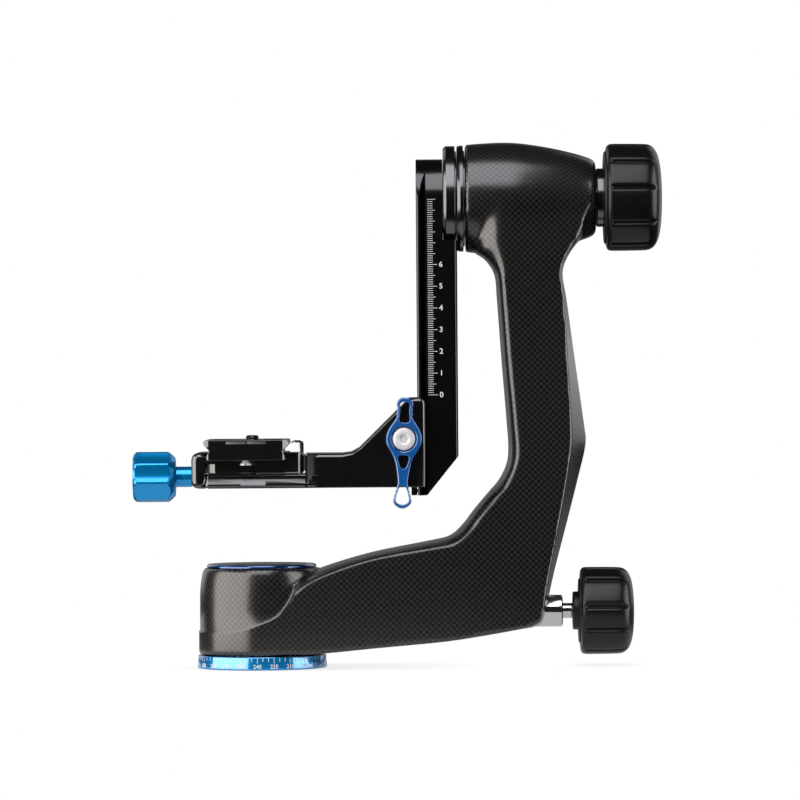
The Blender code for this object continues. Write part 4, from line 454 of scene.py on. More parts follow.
class Nodes:
    """A short hand for building the nodes of a new material, or of another owner."""

    def __init__(self, name, owner=None):
        self.material = owner or bpy.data.materials.new(name)
        self.material.use_nodes = True
        self.tree = self.material.node_tree
        self.shader = self.tree.nodes.get("Principled BSDF")

    def feed(self, node, inputs):
        """Give a node's sockets numbers, colours or what other sockets put out."""
        for socket, value in inputs.items():
            if isinstance(value, bpy.types.NodeSocket):
                self.tree.links.new(value, node.inputs[socket])
            else:
                node.inputs[socket].default_value = (*value, 1) if isinstance(value, tuple) else value
        return node

    def put(self, inputs):
        self.feed(self.shader, inputs)

    def add(self, kind, inputs=None, **settings):
        node = configure(self.tree.nodes.new("ShaderNode" + kind), **settings)
        return self.feed(node, inputs or {})

    def maths(self, operation, *values, clamp=False):
        return self.add("Math", dict(enumerate(values)), operation=operation, use_clamp=clamp).outputs[0]

    def mix(self, factor, first, second):
        return self.add("Mix", {0: factor, 6: first, 7: second}, data_type="RGBA").outputs[2]

    def pick(self, share, first, second):
        """The first value where the share is 1, and the second where it is 0."""
        rest = self.maths("SUBTRACT", 1.0, share)
        return self.maths("ADD", self.maths("MULTIPLY", share, first), self.maths("MULTIPLY", rest, second))

    def noise(self, scale, detail=2.0):
        place = self.add("TexCoord").outputs["Object"]
        return self.add("TexNoise", {"Scale": scale, "Detail": detail, "Vector": place}).outputs["Fac"]

    def spread(self, value, low, high):
        """Map 0..1 to low..high."""
        return self.add("MapRange", {"Value": value, "To Min": low, "To Max": high}).outputs[0]

    def bump(self, height, strength, distance):
        return self.add("Bump", {"Height": height, "Strength": strength, "Distance": distance}).outputs[0]


def surface(name, mottle, colours, wear, roughness, grain=None, **constants):
    """A mottled material whose gloss varies. Mottle and wear are (scale, detail) of a noise; the grain is
    (scale, detail, strength, depth)."""
    n = Nodes(name)
    n.put({"Base Color": n.mix(n.noise(*mottle), *colours), "Roughness": n.spread(n.noise(*wear), *roughness)})
    if grain:
        n.put({"Normal": n.bump(n.noise(*grain[:2]), *grain[2:])})
    n.put({key.replace("_", " "): value for key, value in constants.items()})
    return n.material


def fine_metal(name, colour, tint, roughness, metallic=1.0, bump=0.03, coat=0.0, skin=1.5):
    """Anodised or machined metal: a fine bead-blasted grain, faint mottling and wear in its gloss."""
    clear = {"Coat_Weight": coat, "Coat_Roughness": 0.07, "Coat_IOR": skin} if coat else {}
    return surface(name, (45.0, 4.0), (colour, tint), (120.0, 3.0), (roughness * 0.85, roughness * 1.2),
                   (3600.0, 2.0, bump, 0.05 * MM), Metallic=metallic, **clear)


def black_metal(name, skin):
    """Black anodised aluminium: near black, with a fine blasted grain and a glossy oxide skin."""
    return surface(name, (60.0, 4.0), ((0.0008, 0.0008, 0.0012), (0.0022, 0.0021, 0.003)), (160.0, 3.0),
                   (0.15, 0.21), (3600.0, 2.0, 0.1, 0.02 * MM), IOR=skin)


def white_print():
    n = Nodes("white_print")
    n.put({"Base Color": n.mix(n.noise(400.0), (0.72, 0.72, 0.74), (0.82, 0.82, 0.84)), "Roughness": 0.5})
    return n.material


WEAVE_CELL = 1.4 * MM
STRANDS = 12


def carbon():
    """Plain woven carbon under a satin coat. The weave runs round the barrel and the hub, and flat elsewhere."""
    n = Nodes("woven_carbon")
    coords = n.add("TexCoord").outputs
    x, y, z = n.add("SeparateXYZ", {0: coords["Object"]}).outputs
    nx, _, nz = n.add("SeparateXYZ", {0: coords["Normal"]}).outputs
    depth = n.maths("ABSOLUTE", y)
    # round the pan barrel, left of its axis
    u = n.pick(n.maths("LESS_THAN", x, 0.0), n.maths("MULTIPLY", n.maths("ARCTAN2", x, depth), BARREL_R), x)
    # round the tilt hub, above its axis
    rise = n.maths("SUBTRACT", z, TILT_Z)
    v = n.pick(n.maths("GREATER_THAN", rise, 0.0), n.maths("MULTIPLY", n.maths("ARCTAN2", rise, depth), HUB_R), rise)
    # on the arm's inner and back faces the cloth runs across the arm
    across = n.maths("GREATER_THAN", n.maths("ABSOLUTE", nx), 0.72)
    u = n.pick(n.maths("MULTIPLY", across, n.maths("GREATER_THAN", x, 0.03)), y, u)
    flat = n.maths("GREATER_THAN", n.maths("ABSOLUTE", nz), 0.72)
    v = n.pick(n.maths("MULTIPLY", flat, n.maths("LESS_THAN", rise, -0.02)), y, v)
    u = n.maths("ADD", u, n.spread(n.noise(70.0), -0.12 * MM, 0.12 * MM))
    u, v = [n.maths("DIVIDE", value, WEAVE_CELL) for value in (u, v)]
    # over and under: the sign of sin(pi u) sin(pi v), with soft borders between the tows
    waves = [n.maths("SINE", n.maths("MULTIPLY", value, math.pi)) for value in (u, v)]
    cross = n.maths("MULTIPLY", *waves)
    tow = n.add("MapRange", {"Value": cross, "From Min": -0.22, "From Max": 0.22},
                interpolation_type="SMOOTHSTEP").outputs[0]
    threads = [n.maths("SINE", n.maths("MULTIPLY", value, math.pi * STRANDS)) for value in (u, v)]
    strands = n.pick(tow, *threads)
    shade = n.maths("ADD", tow, n.maths("MULTIPLY", strands, 0.1))
    shade = n.maths("ADD", shade, n.spread(n.noise(28.0, 3.0), -0.2, 0.2), clamp=True)
    dome = n.maths("ADD", n.maths("ABSOLUTE", cross), n.maths("MULTIPLY", strands, 0.08))
    n.put({
        "Base Color": n.mix(shade, (0.001, 0.001, 0.0011), (0.02, 0.019, 0.019)),
        "Roughness": n.maths("SUBTRACT", 0.4, n.maths("MULTIPLY", tow, 0.08)),
        "Specular IOR Level": 0.1,
        "Normal": n.bump(dome, 0.35, 0.06 * MM),
        "Coat Normal": n.bump(dome, 0.09, 0.05 * MM),
        "Coat Weight": n.spread(tow, 0.85, 1.0),
        "Coat Roughness": 0.24,
        "Coat IOR": 1.9,
    })
    return n.material


MATERIALS = {
    "carbon": carbon(),
    "black_anodised": black_metal("black_anodised", 2.35),
    "blue_anodised": fine_metal("blue_anodised", (0.0, 0.38, 0.93), (0.002, 0.43, 1.0), 0.22, metallic=0.72,
                                bump=0.01, coat=0.5, skin=1.7),
    "raw_aluminium": fine_metal("raw_aluminium", (0.6, 0.6, 0.61), (0.72, 0.72, 0.73), 0.32),
    "steel": fine_metal("machined_steel", (0.48, 0.48, 0.5), (0.58, 0.58, 0.6), 0.28),
    "chrome": fine_metal("chrome", (0.8, 0.8, 0.82), (0.86, 0.86, 0.88), 0.09, bump=0.01),
    "bronze": fine_metal("bronze", (0.45, 0.27, 0.1), (0.6, 0.38, 0.16), 0.35),
    "rubber": surface("knob_rubber", (70.0, 4.0), ((0.0018, 0.0018, 0.002), (0.004, 0.004, 0.0042)), (260.0, 3.0),
                      (0.27, 0.36), (2600.0, 3.0, 0.16, 0.04 * MM), IOR=1.52),
    "black_plastic": surface("moulded_plastic", (80.0, 3.0), ((0.006, 0.006, 0.006), (0.01, 0.01, 0.01)),
                             (300.0, 2.0), (0.35, 0.45), (2500.0, 2.0, 0.1, 0.04 * MM)),
    "clear_plastic": surface("level_vial", (60.0, 2.0), ((0.95, 0.97, 0.95), (0.99, 0.99, 0.98)), (90.0, 2.0),
                             (0.01, 0.03), Transmission_Weight=1.0, IOR=1.25),
}
PRINT = white_print()
BLUE_SATIN = fine_metal("blue_satin", (0.0, 0.115, 0.44), (0.002, 0.14, 0.5), 0.38, metallic=0.35, bump=0.06,
                        coat=1.0, skin=2.1)
BLUE_GLOSS = fine_metal("blue_gloss", (0.0, 0.36, 0.88), (0.002, 0.4, 0.96), 0.2, metallic=0.6, bump=0.006,
                        coat=1.0, skin=2.2)
BLUE_DEEP = fine_metal("blue_deep", (0.003, 0.06, 0.24), (0.005, 0.075, 0.29), 0.2, metallic=0.8, coat=1.0,
                       skin=1.9)
RAIL_BLACK = black_metal("rail_black", 1.85)
# Lighter grey for the up-facing faces of the ledge round the barrel: a painted highlight line along the ledge
LEDGE_PAINTED_HIGHLIGHT = fine_metal("ledge_painted_highlight", (0.15, 0.145, 0.14), (0.2, 0.195, 0.19), 0.3, metallic=0.0, bump=0.02)
SATIN_STEEL = fine_metal("satin_steel", (0.8, 0.8, 0.83), (0.88, 0.88, 0.9), 0.34, metallic=0.25, bump=0.08)
DARK_STEEL = fine_metal("dark_steel", (0.05, 0.05, 0.055), (0.09, 0.09, 0.095), 0.25)


def dress_frame():
    """Every solid that still shows gets its slot's material."""
    for node, item in NODES.items():
        for slot in item.material_slots:
            slot.material = MATERIALS[SLOT_OF[node]]


# ---- camera, lights and floor ----


def make_camera():
    data = configure(bpy.data.cameras.new("camera"), lens=LENS, sensor_width=SENSOR, shift_x=CAMERA_SHIFT_X,
                     clip_start=0.05, clip_end=50)
    camera = link(bpy.data.objects.new("camera", data))
    camera.location = EYE
    camera.rotation_euler = (90 * DEG - CAMERA_DIP, CAMERA_ROLL, 0)
    bpy.context.scene.camera = camera


def softbox(name, azimuth, elevation, distance, width, height, strength, colour=WHITE):
    """A rectangular lamp round the object; azimuth 0 is at the camera, positive to its right."""
    a, e = azimuth * DEG, elevation * DEG
    out = Vector((math.sin(a) * math.cos(e), -math.cos(a) * math.cos(e), math.sin(e)))
    data = configure(bpy.data.lights.new(name, "AREA"), shape="RECTANGLE", size=width, size_y=height,
                     energy=strength * width * height * math.pi, color=colour)
    lamp = link(bpy.data.objects.new(name, data))
    lamp.location = Vector(OBJECT_CENTRE) + out * distance
    lamp.rotation_euler = (-out).to_track_quat("-Z", "Y").to_euler()


def make_lights():
    softbox("left_softbox", -62, 8, 1.1, 1.58, 1.3, 2.8, (1.0, 0.94, 0.87))
    softbox("right_softbox", 80, 10, 1.1, 0.95, 1.2, 2.5)
    softbox("top_softbox", -9, 54, 1.1, 0.8, 1.00, 2.4, (0.96, 0.94, 1.0))
    softbox("back_left", -145, 20, 1.2, 0.6, 1.1, 0.6)
    softbox("back_right", 145, 20, 1.2, 0.6, 1.1, 0.6)


def make_world():
    """White all round for the camera and glass. Mirrors see a dim room, dark in front as the room behind a camera is
    and a little brighter straight behind; matt surfaces get an even fill.
    """
    world = bpy.data.worlds.new("studio")
    bpy.context.scene.world = world
    n = Nodes("studio", world)
    n.tree.nodes.clear()
    path = n.add("LightPath").outputs
    axes = n.add("SeparateXYZ", {0: n.add("TexCoord").outputs["Generated"]}).outputs
    ramp = n.add("MapRange", {"Value": axes[1], "From Min": ROOM_BACK_START, "To Min": ROOM_FRONT,
                              "To Max": ROOM_BACK}, interpolation_type="SMOOTHSTEP").outputs[0]
    room, fill, backdrop = [n.add("Background", {"Color": WHITE, "Strength": level}).outputs[0]
                            for level in (ramp, ROOM_FILL, 1.0)]
    lit = n.add("MixShader", {0: path["Is Glossy Ray"], 1: fill, 2: room}).outputs[0]
    seen = n.maths("MAXIMUM", path["Is Camera Ray"], path["Is Transmission Ray"])
    n.add("OutputWorld", {0: n.add("MixShader", {0: seen, 1: lit, 2: backdrop}).outputs[0]})


def make_floor():
    """A white floor that the camera sees as white, apart from a painted soft contact shadow round the object."""
    mesh_data = bmesh.new()
    bmesh.ops.create_circle(mesh_data, cap_ends=True, segments=96, radius=TABLE_RADIUS)
    floor = mesh_object(mesh_data)
    floor.name = "floor"
    floor.location = (*OBJECT_CENTRE[:2], -0.02 * MM)
    n = Nodes("floor_white")
    n.put({"Base Color": (0.8, 0.8, 0.8), "Roughness": 0.9})
    path = n.add("LightPath").outputs
    # Painted contact shadow: ambient occlusion near the object dims the floor's glow
    open_sky = n.add("AmbientOcclusion", {"Distance": SHADOW_REACH}, samples=16).outputs["AO"]
    light = n.maths("MULTIPLY_ADD", open_sky, SHADOW_DEPTH * 1.02, 1 - SHADOW_DEPTH, clamp=True)
    light = n.maths("MULTIPLY", light, n.spread(path["Is Glossy Ray"], 1.0, TABLE_GLOW))
    glow = n.add("Emission", {"Color": WHITE, "Strength": light}).outputs[0]
    seen = n.maths("MAXIMUM", path["Is Camera Ray"], path["Is Glossy Ray"])
    seen = n.maths("MAXIMUM", seen, path["Is Transmission Ray"])
    both = n.add("MixShader", {0: seen, 1: n.shader.outputs[0], 2: glow}).outputs[0]
    n.feed(n.tree.nodes["Material Output"], {0: both})
    floor.data.materials.append(n.material)


# ---- the arm ----


# Rows of thousandths: the (x, z) shares of reach and rise at the inner crest, the face's inner edge, its outer
# edge and the back crest, how far the half thickness has gone from pan flange to hub, and what is left of it at
# the outer edge
ARM_SECTIONS = (
    (0, 90, 0, 72, 0, 5, 0, 3, 0, 1000),
    (50, 117, 50, 90, 50, 4, 50, 2, 0, 1000),
    (93, 155, 92, 124, 93, 4, 93, 1, 0, 1000),
    (176, 186, 168, 165, 183, 5, 183, 2, 0, 1000),
    (334, 220, 338, 208, 352, 16, 352, 12, 50, 1000),
    (519, 246, 525, 231, 548, 28, 548, 25, 250, 1000),
    (581, 257, 594, 240, 669, 40, 671, 36, 370, 1000),
    (621, 282, 641, 266, 788, 55, 792, 50, 530, 1000),
    (651, 310, 671, 293, 839, 65, 847, 58, 650, 1000),
    (680, 335, 699, 318, 859, 86, 868, 79, 770, 1000),
    (708, 358, 731, 345, 881, 179, 899, 175, 940, 1000),
    (733, 379, 757, 367, 910, 282, 938, 281, 1100, 1000),
    (756, 412, 780, 402, 936, 386, 976, 386, 1260, 1000),
    (763, 448, 792, 441, 950, 460, 999, 458, 1350, 990),
    (758, 511, 785, 510, 950, 512, 993, 510, 1370, 985),
    (744, 640, 770, 640, 942, 638, 969, 636, 1370, 965),
    (731, 776, 756, 774, 933, 774, 944, 774, 1320, 915),
    (723, 834, 750, 835, 924, 833, 932, 835, 1250, 885),
    (692, 868, 746, 874, 946, 877, 952, 875, 1200, 860),
    (661, 890, 746, 916, 988, 923, 994, 920, 1120, 785),
    (664, 1000, 745, 1000, 1016, 1000, 1028, 1000, 1050, 711),
)
INNER_CREST = 10 * MM
OUTER_CREST = 6 * MM


def between(first, second, share):
    return [a + (b - a) * share for a, b in zip(first, second)]


def arm_section(spot):
    """One ring of the arm: the inner crest rounded to the flat faces, then slopes to the back crest."""
    row = blend_rows([[value / 1000 for value in section] for section in ARM_SECTIONS], spot)
    crest, face_in, face_out, back = [(x * ARM_REACH, ARM_FOOT + z * ARM_RISE)
                                      for x, z in zip(row[0:8:2], row[1:8:2])]
    spread, taper = row[8:]
    half_in = FLANGE_R + (HUB_R - FLANGE_R) * spread
    half_out = half_in * taper
    half = [(*crest, 0), (*crest, INNER_CREST * 0.5), (*crest, INNER_CREST)]
    for turn in (20, 40, 60, 75):
        a = turn * DEG
        half.append((*between(crest, face_in, 1 - math.cos(a)), INNER_CREST + (half_in - INNER_CREST) * math.sin(a)))
    half += [between((*face_in, half_in), (*face_out, half_out), step / 6) for step in range(7)]
    half += [between((*face_out, half_out), (*back, OUTER_CREST), step / 4) for step in range(1, 5)]
    half.append((*back, 0))
    return [(x, -y, z) for x, z, y in half] + [(x, y, z) for x, z, y in reversed(half[1:-1])]


# Height in mm of the ledge round the barrel, from its free side to where it runs up on to the arm
LEDGE = ((-30, 17.7), (-20, 17.7), (-14, 17.9), (-9, 18.7), (-4.8, 20), (0, 21.6), (4, 23.1),
         (7.2, 24.9), (10, 27.9), (12.5, 31.6), (14, 34.6), (15.5, 39), (17.3, 50))
LEDGE_END = 17.2
# The hub's outline: shares of its length and radius
HUB_PROFILE = ((0, 0.945), (0.012, 0.965), (0.12, 0.985), (0.286, 1), (0.44, 0.98), (0.653, 0.9), (0.835, 0.8),
               (0.94, 0.722), (0.985, 0.665), (1, 0.6))


def ledge_height(x):
    for (x0, z0), (x1, z1) in zip(LEDGE, LEDGE[1:]):
        if x <= x1:
            return z0 + (z1 - z0) * (x - x0) / (x1 - x0)
    return LEDGE[-1][1]


def barrel_step():
    """What the ledge's moulding leaves free round the barrel above it: a thin shell open towards the arm."""
    inner, outer, top, steps = BARREL_R / MM, 33, 62, 150
    reach = math.acos(LEDGE_END / inner)
    rings = []
    for step in range(steps + 1):
        a = reach + (2 * math.pi - 2 * reach) * step / steps
        low = ledge_height(inner * math.cos(a))
        section = ((inner, low + 0.05), (FLANGE_R / MM + 0.02, low - 0.75), (outer, low - 0.76), (outer, top),
                   (inner, top))
        rings.append(scaled([polar(r, a, z) for r, z in section]))
    return loft(rings)


def arm_bores():
    """The holes for the pan spindle, the pan lock's guide and rod, and the tilt shaft."""
    foot = ARM_FOOT / MM - 2
    bores = turned([(0, foot), (23.5, foot), (23.5, 50), (0, 50)], 96)
    start, end = span("pan_lock_guide", 0)
    rod = turned([(0, 12), (4.8, 12), (4.8, start), (7.65, start), (7.65, end), (0, end)], 48)
    combine(bores, turn_along_x(rod, PAN_LOCK_Z), "UNION")
    tilt = turned([(0, 93.5), (21.2, 93.5), (21.2, 122), (12.3, 122), (12.3, 158), (0, 158)], 96)
    return combine(bores, turn_along_x(tilt, TILT_Z), "UNION")


def make_arm():
    """The carbon arm: its sections, barrel and hub grown together, with the ledge's moulding cut back."""
    last = len(ARM_SECTIONS) - 1
    arm = loft([arm_section(step / 4) for step in range(last * 4 + 1)])
    barrel = [(0, ARM_FOOT), (28.4 * MM, ARM_FOOT), (29.1 * MM, 6.8 * MM), (FLANGE_R, 7.5 * MM),
              (FLANGE_R, 25.5 * MM), (BARREL_R, 26 * MM), (BARREL_R, 31 * MM)]
    for step in range(1, 11):
        a = step * 9 * DEG
        barrel.append((BARREL_R - 2.7 * MM * (1 - math.cos(a)), (31 + 15.3 * math.sin(a)) * MM))
    combine(arm, lathe(barrel + [(0, 46.3 * MM)], 128), "UNION")
    hub = [(0, HUB_START)]
    for step in range(41):
        along, wide = blend_rows(HUB_PROFILE, (len(HUB_PROFILE) - 1) * step / 40)
        hub.append((HUB_R * wide, HUB_START + HUB_LENGTH * min(1, max(0, along))))
    hub.append((0, HUB_START + HUB_LENGTH))
    combine(arm, turn_along_x(lathe(hub, 128), TILT_Z), "UNION")
    apply(arm, "REMESH", mode="VOXEL", voxel_size=0.85 * MM)
    apply(arm, "SMOOTH", factor=0.5, iterations=4)
    combine(arm, barrel_step())
    smooth_near(arm, (0.113, 0.02, 0.199), 0.02, 30)
    smooth_near(arm, (0.146, 0.014, 0.2), 0.014, 16)
    combine(arm, arm_bores())
    shade(arm.data, 60 * DEG)
    finish(arm, "arm_shell").name = "arm_skin"
    # The ledge's up-facing faces get the lighter grey: a painted highlight line along the ledge
    arm.data.materials.append(LEDGE_PAINTED_HIGHLIGHT)
    for face in arm.data.polygons:
        x, _, z = spot = face.center / MM
        on_ledge = abs(z - ledge_height(x)) < 1.3 and 28.5 < spot.xy.length < 33.5
        if on_ledge and face.normal.z > 0.3 and -15 < x < LEDGE_END and z < 40:
            face.material_index = 1


# ---- knobs ----


# Share of a grip's length and of its radius, from the back edge over the side to the dome
GRIP_PROFILE = (
    (0, 0.87), (0.008, 0.925), (0.03, 0.968), (0.075, 0.994), (0.13, 1), (0.3, 1), (0.5, 0.998),
    (0.7, 0.992), (0.78, 0.975), (0.84, 0.938), (0.895, 0.865), (0.94, 0.75), (0.972, 0.585), (0.991, 0.36),
    (1, 0.12),
)
GROOVE_DEPTH = 1.35 * MM
GROOVE_OFFSETS = (-2, -1.5, -1.1, -0.8, -0.55, -0.3, 0, 0.3, 0.55, 0.8, 1.1, 1.5, 2)


def make_grip(node, radius, start, length, height, turn, spans, hollow):
    """A domed rubber grip: flat panels parted by rounded grooves that run out on the dome. Its hollow is
    the recess's radius, the bore's radius, the bore's depth and the recess's depth."""
    angles = []
    groove = turn
    for number in range(10):
        wide = spans[number % 2]
        reach = GROOVE_OFFSETS[-1] * MM / radius
        angles += [(groove + offset * MM / radius, groove, wide) for offset in GROOVE_OFFSETS]
        angles += [(groove + reach + (wide - 2 * reach) * step / 7, groove, wide) for step in range(1, 7)]
        groove += wide

    def ring(along, wide):
        points = []
        cut = GROOVE_DEPTH * smoothstep(0.055, 0.12, along) * (1 - smoothstep(0.8, 0.9, along))
        for a, groove, panel in angles:
            gap = (a - groove) * radius
            half = panel / 2
            lean = min(half, abs((a - groove) % (2 * math.pi) - half))
            flat = 0.16 * (1 - math.cos(half) / math.cos(lean))
            trough = math.exp(-((gap / (0.95 * MM)) ** 2)) if abs(gap) < 2.5 * MM else 0
            r = radius * wide * (1 - flat * smoothstep(0.02, 0.1, along)) - cut * trough
            points.append(polar(r, a, length * along))
        return points

    recess, bore, depth, lap = hollow
    rings = [[(0, 0, depth)]]
    for wide, high in ((bore, depth), (bore, lap), (recess, lap), (recess, 0)):
        rings.append([polar(wide, a, high) for a, _, _ in angles])
    count = 44
    for step in range(count + 1):
        along, wide = blend_rows(GRIP_PROFILE, (len(GRIP_PROFILE) - 1) * step / count)
        rings.append(ring(max(0, min(1, along)), wide))
    rings.append([(0, 0, length)])
    grip = turn_along_x(loft(rings, sharp=40 * DEG), height)
    return finish(move(grip, start, 0, 0), node)


FLUTES = 8
FLUTE_STEPS = 24
FLUTE_TURN = (-98.5 - 22.5) * DEG
FLUTE_DEPTH = 1.3 * MM
FLUTED_R = 11.95 * MM
# (place, greatest radius) in mm along the clamp knob's fluted length
KNOB_PROFILE = ((0.7, 6.6), (0.15, 7.4), (0, 7.8), (0, 9.6), (0.25, 10.4), (0.9, 11.2), (1.5, 11.8),
                (1.9, 12), (6, 12), (11, 12), (16, 12), (16.4, 11.95), (16.9, 11.5), (17.4, 11),
                (17.9, 10.5), (18.4, 10), (18.9, 9.5), (19.3, 9.1), (19.6, 8.6))


def make_clamp_knob():
    """The fluted blue knob: scooped flutes between narrow ridges, cut off by a cone behind."""
    low, high = [corner[0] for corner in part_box("clamp_knob")]
    neck, neck_start, bore_end = 4.75 * MM, high - 7.8 * MM, high - 16 * MM
    steps = range(FLUTES * FLUTE_STEPS)
    angles = [FLUTE_TURN + 2 * math.pi * step / len(steps) for step in steps]
    scoops = [max(0, 1 - (abs(2 * (step % FLUTE_STEPS) / FLUTE_STEPS - 1) / 0.9) ** 2) for step in steps]
    rings = [[(0, 0, low + 0.7 * MM)]]
    for x, limit in KNOB_PROFILE:
        rings.append([polar(min(limit * MM, FLUTED_R - FLUTE_DEPTH * scoop), a, low + x * MM)
                      for a, scoop in zip(angles, scoops)])
    for r, x in ((5.3 * MM, neck_start), (neck, neck_start + 0.5 * MM), (neck, high - 0.4 * MM),
                 (neck - 0.3 * MM, high), (3.3 * MM, high), (3.3 * MM, bore_end)):
        rings.append([polar(r, a, x) for a in angles])
    rings.append([(0, 0, bore_end)])
    return finish(turn_along_x(loft(rings, sharp=30 * DEG), CLAMP_Z), "clamp_knob")


# ---- turned pieces ----


def make_base():
    disc = turned_piece("base_disc", [(8.3, 0), (29.6, 0), (30, 0.5), (29.55, 5.7), (29.35, 6), (28, 6),
                                      (27.75, 5.7), (27.75, 5.2), (8.3, 5.2)], 0.12, 192, look=BLUE_GLOSS)
    for number in range(1, 4):
        node = f"base_screw_{number}"
        x, y = middle(node, 0), middle(node, 1)
        combine(disc, turned([(0, -1), (3.1, -1), (3.1, 2.4), (1.8, 2.4), (1.8, 6), (0, 6)], 32, at=(x, y)))
        screw = turned([(0, 0.3), (2.8, 0.3), (2.8, 2.1), (1.5, 2.1), (1.5, 7.5), (0, 7.5)], 48, 0.25)
        finish(move(combine(screw, hex_hole(1.45, -1, 1.5)), x * MM, y * MM, 0), node)
    turned_piece("tripod_thread_insert", [(8, 0.3), (8, 11), (5.1, 11),
                                          *reversed(thread(5.1, 1, 10.4, 1.59, 0.34)), (5.9, 0), (7.7, 0)], 0)
    turned_piece("pan_trim_ring", [(22, 46.6), (25.4, 46.6), (25.4, 47.3), (24.75, 48.1), (22, 48.1)], 0.14,
                 192, look=BLUE_DEEP)
    turned_piece("pan_top_cap", [(0, 46.6), (21.7, 46.6), (21.7, 47.6), (21.2, 48.1), (18.4, 48.15), (18.1, 47.8),
                                 (17.6, 47.8), (17.2, 48.3), (0, 48.3)], 0.15, 128)


def make_side_pieces():
    """The turned pieces on the tilt axis and on the pan lock's axis."""
    back, back_end = span("pan_lock_back_plate", 0)
    core, core_end = span("pan_lock_core", 0)
    guide, guide_end = span("pan_lock_guide", 0)
    rod, rod_end = span("pan_lock_rod", 0)
    for node, height, rounding, facets, profile in (
        ("hub_flange", TILT_Z, 0.15, 144, [
            (9.3, 85.3), (23.3, 85.3), (24.4, 86.5), (24.4, 90.5), (24.1, 90.8), (22, 90.8), (22, 91.4),
            (9.3, 91.4)]),
        ("tilt_front_ring", TILT_Z, 0.08, 144, [
            (12.6, 91.7), (24.15, 91.7), (24.6, 93.15), (24.6, 94.45), (24.35, 94.6), (22.2, 94.6), (22.2, 95.2),
            (12.6, 95.2)]),
        ("tilt_rear_collar", TILT_Z, 0.1, 96, [
            (7.8, 156.3), (13.2, 156.3), (13.55, 156.7), (13.55, 160.5), (13.2, 160.9), (7.8, 160.9)]),
        ("tilt_lock_back_plate", TILT_Z, 0.2, 96, [
            (13.85, 159.8), (21, 159.8), (21.5, 160.3), (21.5, 161.5), (13.85, 161.5)]),
        ("pan_lock_back_plate", PAN_LOCK_Z, 0.15, 96, [
            (9.15, back), (14.6, back), (15, back + 0.4), (15, back_end), (9.15, back_end)]),
        ("pan_lock_core", PAN_LOCK_Z, 0.15, 96, [
            (3.8, core), (8.4, core), (8.85, core + 0.45), (8.85, core + 4.3), (14, core + 4.3), (14, core_end),
            (3.8, core_end)]),
        ("pan_lock_guide", PAN_LOCK_Z, 0.12, 96, [
            (3.8, guide), (7.35, guide), (7.35, guide_end - 0.5), (6.85, guide_end), (4.2, guide_end),
            (3.8, guide_end - 0.4)]),
        ("pan_lock_rod", PAN_LOCK_Z, 0.3, 64, [(0, rod), (3.5, rod), (3.5, rod_end), (0, rod_end)]),
    ):
        turned_piece(node, profile, rounding, facets, height)


def make_platform_screws():
    """The camera screw, the plate's stop screws, the level and the lever's screw."""
    low, high = span("camera_screw", 2)
    x = middle("camera_screw", 0)
    screw = turned_piece("camera_screw", [
        (0, low), (6.6, low), (6.6, low + 3), (3.1, low + 3), *thread(3.1, low + 4, high - 3, 1.27, 0.4),
        (2.3, high - 2.6), (0, high - 2.6)], 0.06, 64, at=(x, 0), look=DARK_STEEL)
    combine(screw, block((x - 0.6, -8, low - 1), (x + 0.6, 8, low + 1.1)))
    for node in ("plate_stop_front", "plate_stop_back"):
        x, y = middle(node, 0), middle(node, 1)
        low, high = span(node, 2)
        stop = turned_piece(node, [
            (0, low), (2.6, low), (2.6, low + 0.5), (1.3, low + 2), (1.2, low + 2.3), (1.2, high), (0, high)],
            0.1, 48, at=(x, y), look=SATIN_STEEL)
        combine(stop, block((x - 0.35, y - 4, low - 1), (x + 0.35, y + 4, low + 0.9)))
    x = middle("bubble_level", 0)
    low, high = span("bubble_level", 2)
    turned_piece("bubble_level", [
        (0, low), (3.1, low), (3.1, high - 1.3), (2.6, high - 0.5), (1.4, high - 0.1), (0, high)], 0.2, 64, at=(x, 0))
    ring = turned([(1.25, high - 0.12), (1.45, high - 0.16), (1.45, high), (1.25, high)], 48, at=(x, 0))
    detail(ring, "level_mark", "platform", "black_plastic")
    tip, front = [-value for value in reversed(span("lever_screw", 1))]
    x, z = middle("lever_screw", 0), middle("lever_screw", 2)
    screw = turned([(0, tip), (2.9, tip + 2.9), (2.9, front - 3.2), (5.3, front - 3.2), (5.3, front - 0.9),
                    (4.5, front - 0.2), (3.4, front), (0, front)], 96, 0.3)
    finish(turn_to_front(screw, x, z), "lever_screw", SATIN_STEEL)
    combine(screw, turn_to_front(hex_hole(2.2, front - 0.6, front + 1), x, z))


# ---- prismatic pieces ----


